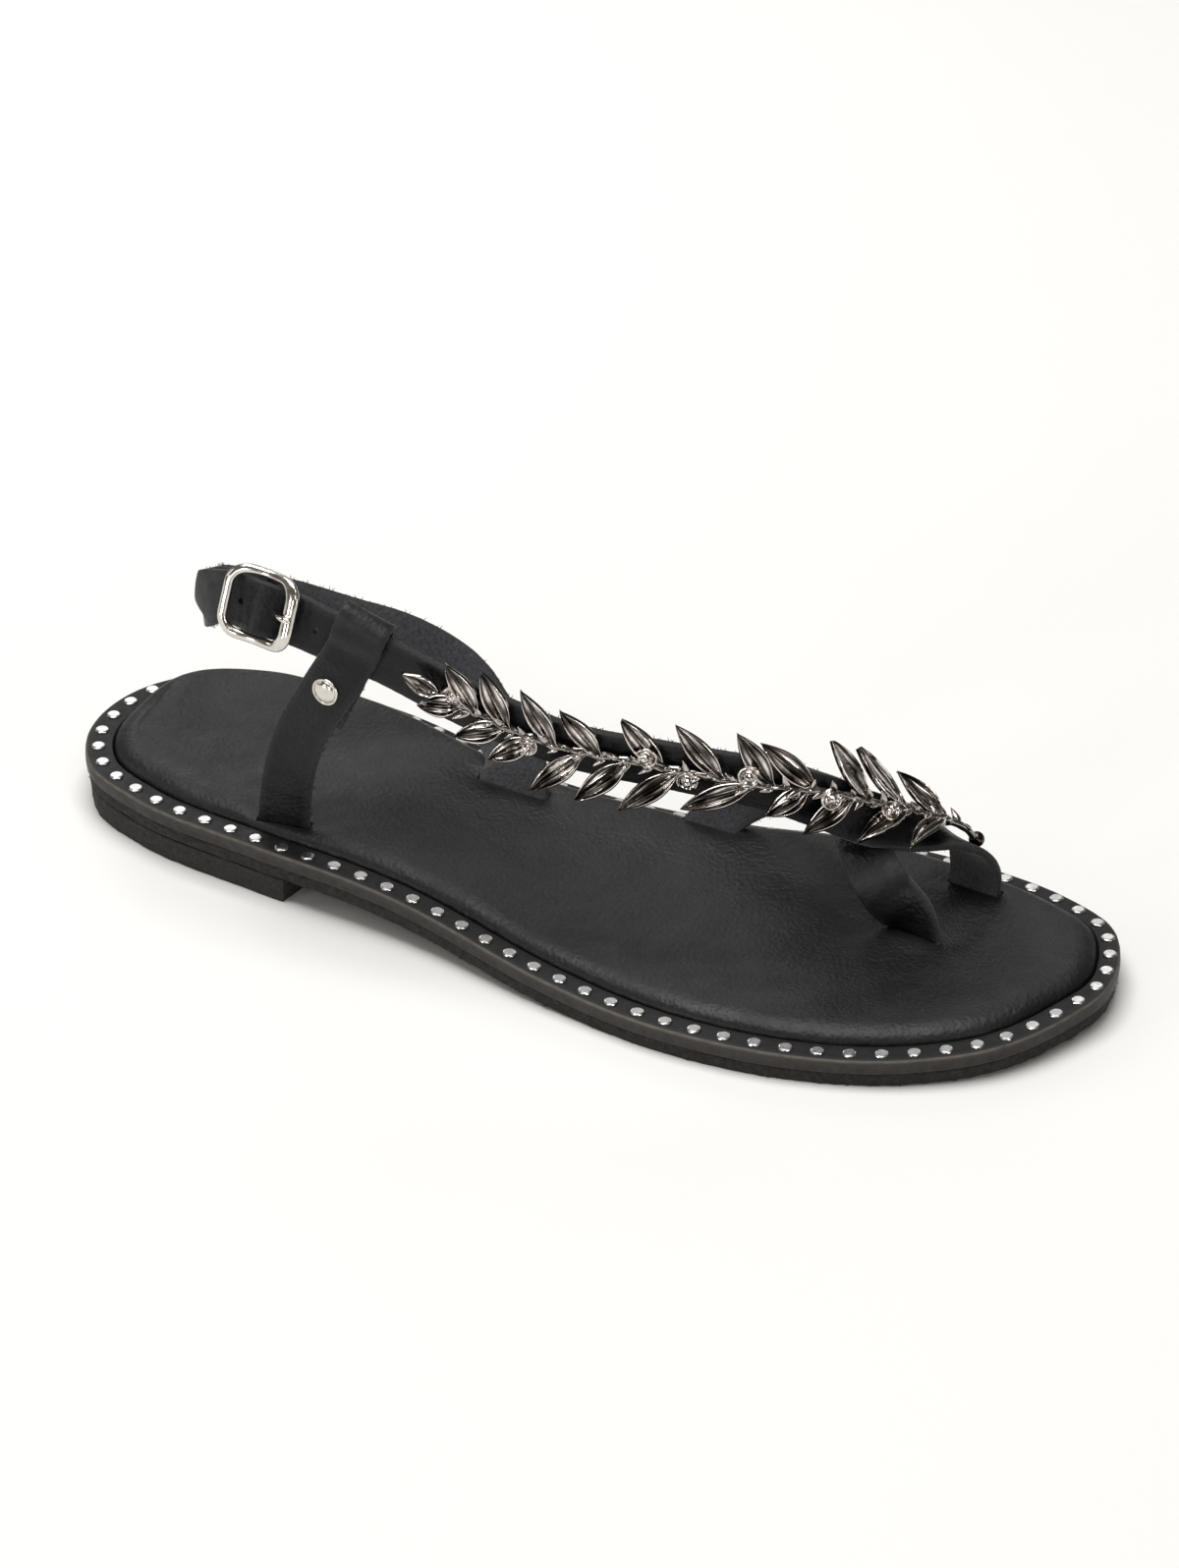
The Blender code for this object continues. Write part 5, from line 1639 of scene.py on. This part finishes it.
def spray_berries():
    """Berries beside the stem, each in its collar with a tendril round it."""
    tendrils = []
    rows = []
    for number, (at, beside) in enumerate(BERRIES):
        base, forward, side, up = stem_at(at)
        centre = base + side * beside + up * BERRY_LIFT
        rows.append((centre, (forward, np.cross(up, forward), up), (MM, MM, MM)))
        turn = math.radians(TENDRIL_TURN * number)
        first = forward * math.cos(turn) + side * math.sin(turn)
        sweep = TENDRIL_SWEEPS[number % len(TENDRIL_SWEEPS)]
        tendrils.append(tendril(centre + up * TENDRIL_LIFT, first, np.cross(up, first), sweep))
    profile = np.array(BERRY_PROFILE) * BERRY_RADIUS
    # Painted highlight over every berry
    berry = set_wear_and_sheen(turned_template("berry", profile, (0, 0, 1), BLACK_NICKEL, sides=20), BERRY_PAINTED_HIGHLIGHT)
    return [*tendrils, copies("berries", berry, *zip(*rows), BLACK_NICKEL, tilt=0.2, seed=5)]


def spray_end_bead():
    """Bead at the toe end of the stem."""
    stem, run, across, out = stem_at(STEM_SWAY[0][0])
    angle = np.radians([0.0, *np.linspace(12, 168, 12), 180.0])
    profile = END_BEAD_RADIUS * np.column_stack([np.sin(angle), np.cos(angle)])
    centre = stem + out * (END_BEAD_RADIUS - STEM_RADIUS)
    return turned("bead", profile, centre, out, [BLACK_NICKEL], sides=24)


def make_spray():
    """Cast spray: stem, leaves, buds, berries with their tendrils, and the end bead."""
    parts = [spray_stem(), *spray_leaves(), spray_buds(), *spray_berries(), spray_end_bead()]
    finished(joined("leaf_spray_casting", parts), "gunmetal", "leaf_spray", crisp=60)


def make_spray_rivets():
    """Small domed heads on the flesh side that hold the spray."""
    under = -STRAP_THICK / 2
    shank = [(0.0, 0.0), (SHANK_RADIUS, 0.0), (SHANK_RADIUS, under)]
    profile = [*shank, *[(radius, under - depth) for radius, depth in SPRAY_RIVET_HEAD]]
    heads = []
    for along in SPRAY_RIVET_PLACES:
        stem, run, across, out = stem_at(along)
        centre = stem - out * np.dot(stem - LONG_LINE.at(along)[0], out)
        heads.append(turned("head", profile, centre, out, [NICKEL], sides=28))
    nodes = [f"spray_rivet_{n + 1}" for n in range(len(SPRAY_RIVET_PLACES))]
    finished(joined("spray_rivet_heads", heads), "nickel", *nodes, crisp=45)


# Welt studs

def make_studs():
    """Flat nailheads along the welt; the row starts and ends close to the welt's joint."""
    loop = ring(welt_width() * STUD_SHARE, WELT_TOP)
    path = loop[from_joint(len(loop))]
    knots = chord_knots(path)
    first, last = STUD_END_GAP, knots[-1] - STUD_END_GAP
    number = int((last - first) / STUD_PITCH) + 1
    at = np.linspace(first, last, number)
    places = curve_at(knots, path, at)
    nudge = 0.3
    run = unit(curve_at(knots, path, at + nudge) - curve_at(knots, path, at - nudge))
    side = unit(np.cross((0.0, 0.0, 1.0), run))
    up = np.cross(run, side)
    profile = np.array(STUD_PROFILE) * (STUD_RADIUS, STUD_RISE)
    stud = turned_template("stud", profile, (0, 0, 1), TUMBLED_NICKEL, sides=16)
    axes = list(zip(run, side, up))
    sizes = [(MM, MM, MM)] * number
    studs = copies("welt_studs", stud, places, axes, sizes, TUMBLED_NICKEL, tilt=0.03, seed=3)
    finished(studs, "nickel", crisp=14)


# Stage: pale floor, soft light and the camera

def aimed(thing, place, aim):
    """Stand a lamp or camera at its place, looking at its aim."""
    thing.location = place
    thing.rotation_euler = (Vector(aim) - Vector(place)).to_track_quat("-Z", "Y").to_euler()
    return thing


def make_floor():
    """Sheet of matt white paper."""
    half = FLOOR_HALF
    corners = [(-half, -half, 0), (half, -half, 0), (half, half, 0), (-half, half, 0)]
    mesh = bpy.data.meshes.new("floor")
    mesh.from_pydata(corners, [], [(0, 1, 2, 3)])
    paper = bpy.data.materials.new("matt white paper")
    paper.use_nodes = True
    shader = paper.node_tree.nodes["Principled BSDF"]
    shader.inputs["Base Color"].default_value = linear(FLOOR_TONE)
    shader.inputs["Roughness"].default_value = 0.9
    mesh.materials.append(paper)
    floor = added("floor", mesh)


def make_lamps():
    """Softboxes and strips round the shoe, unseen by the camera."""
    for name, place, aim, width, height, watts, colour in LAMPS:
        light = bpy.data.lights.new(name, "AREA")
        light.shape = "RECTANGLE"
        light.size = width
        light.size_y = height
        light.energy = watts
        light.color = linear(colour)[:3]
        lamp = aimed(added(name, light), place, aim)
        lamp.visible_camera = False


def make_room():
    """Room that is dim to the shoe's gloss and that the camera sees as pale as the floor."""
    world = bpy.data.worlds.new("studio")
    bpy.context.scene.world = world
    world.use_nodes = True
    tree = world.node_tree
    seen = add(tree, "ShaderNodeLightPath").outputs["Is Camera Ray"]
    tones = {"Factor": seen, 6: linear(ROOM_TONE), 7: linear(BACKGROUND_TONE)}
    room = add(tree, "ShaderNodeMix", tones, data_type="RGBA")
    tree.links.new(room.outputs[2], tree.nodes["Background"].inputs["Color"])
    bpy.context.scene.view_settings.view_transform = "Standard"


def make_camera():
    """Camera at the photograph's angle."""
    view = bpy.data.cameras.new("camera")
    view.lens = CAMERA_LENS
    view.clip_start = 0.05
    view.clip_end = 50.0
    bpy.context.scene.camera = aimed(added("camera", view), CAMERA_PLACE, CAMERA_AIM)


make_outsole()
make_heel()
make_welt()
make_footbed()
make_upper()
make_heel_strap()
make_buckle_frame()
make_buckle_prong()
make_rivets()
make_spray()
make_spray_rivets()
make_studs()
make_fibres("strap_edge_fibres", STRAP_FIBRES, CUT_EDGE)
make_fibres("sole_edge_fibres", SOLE_FIBRES, SOLE_BOARD)
make_floor()
make_lamps()
make_room()
make_camera()
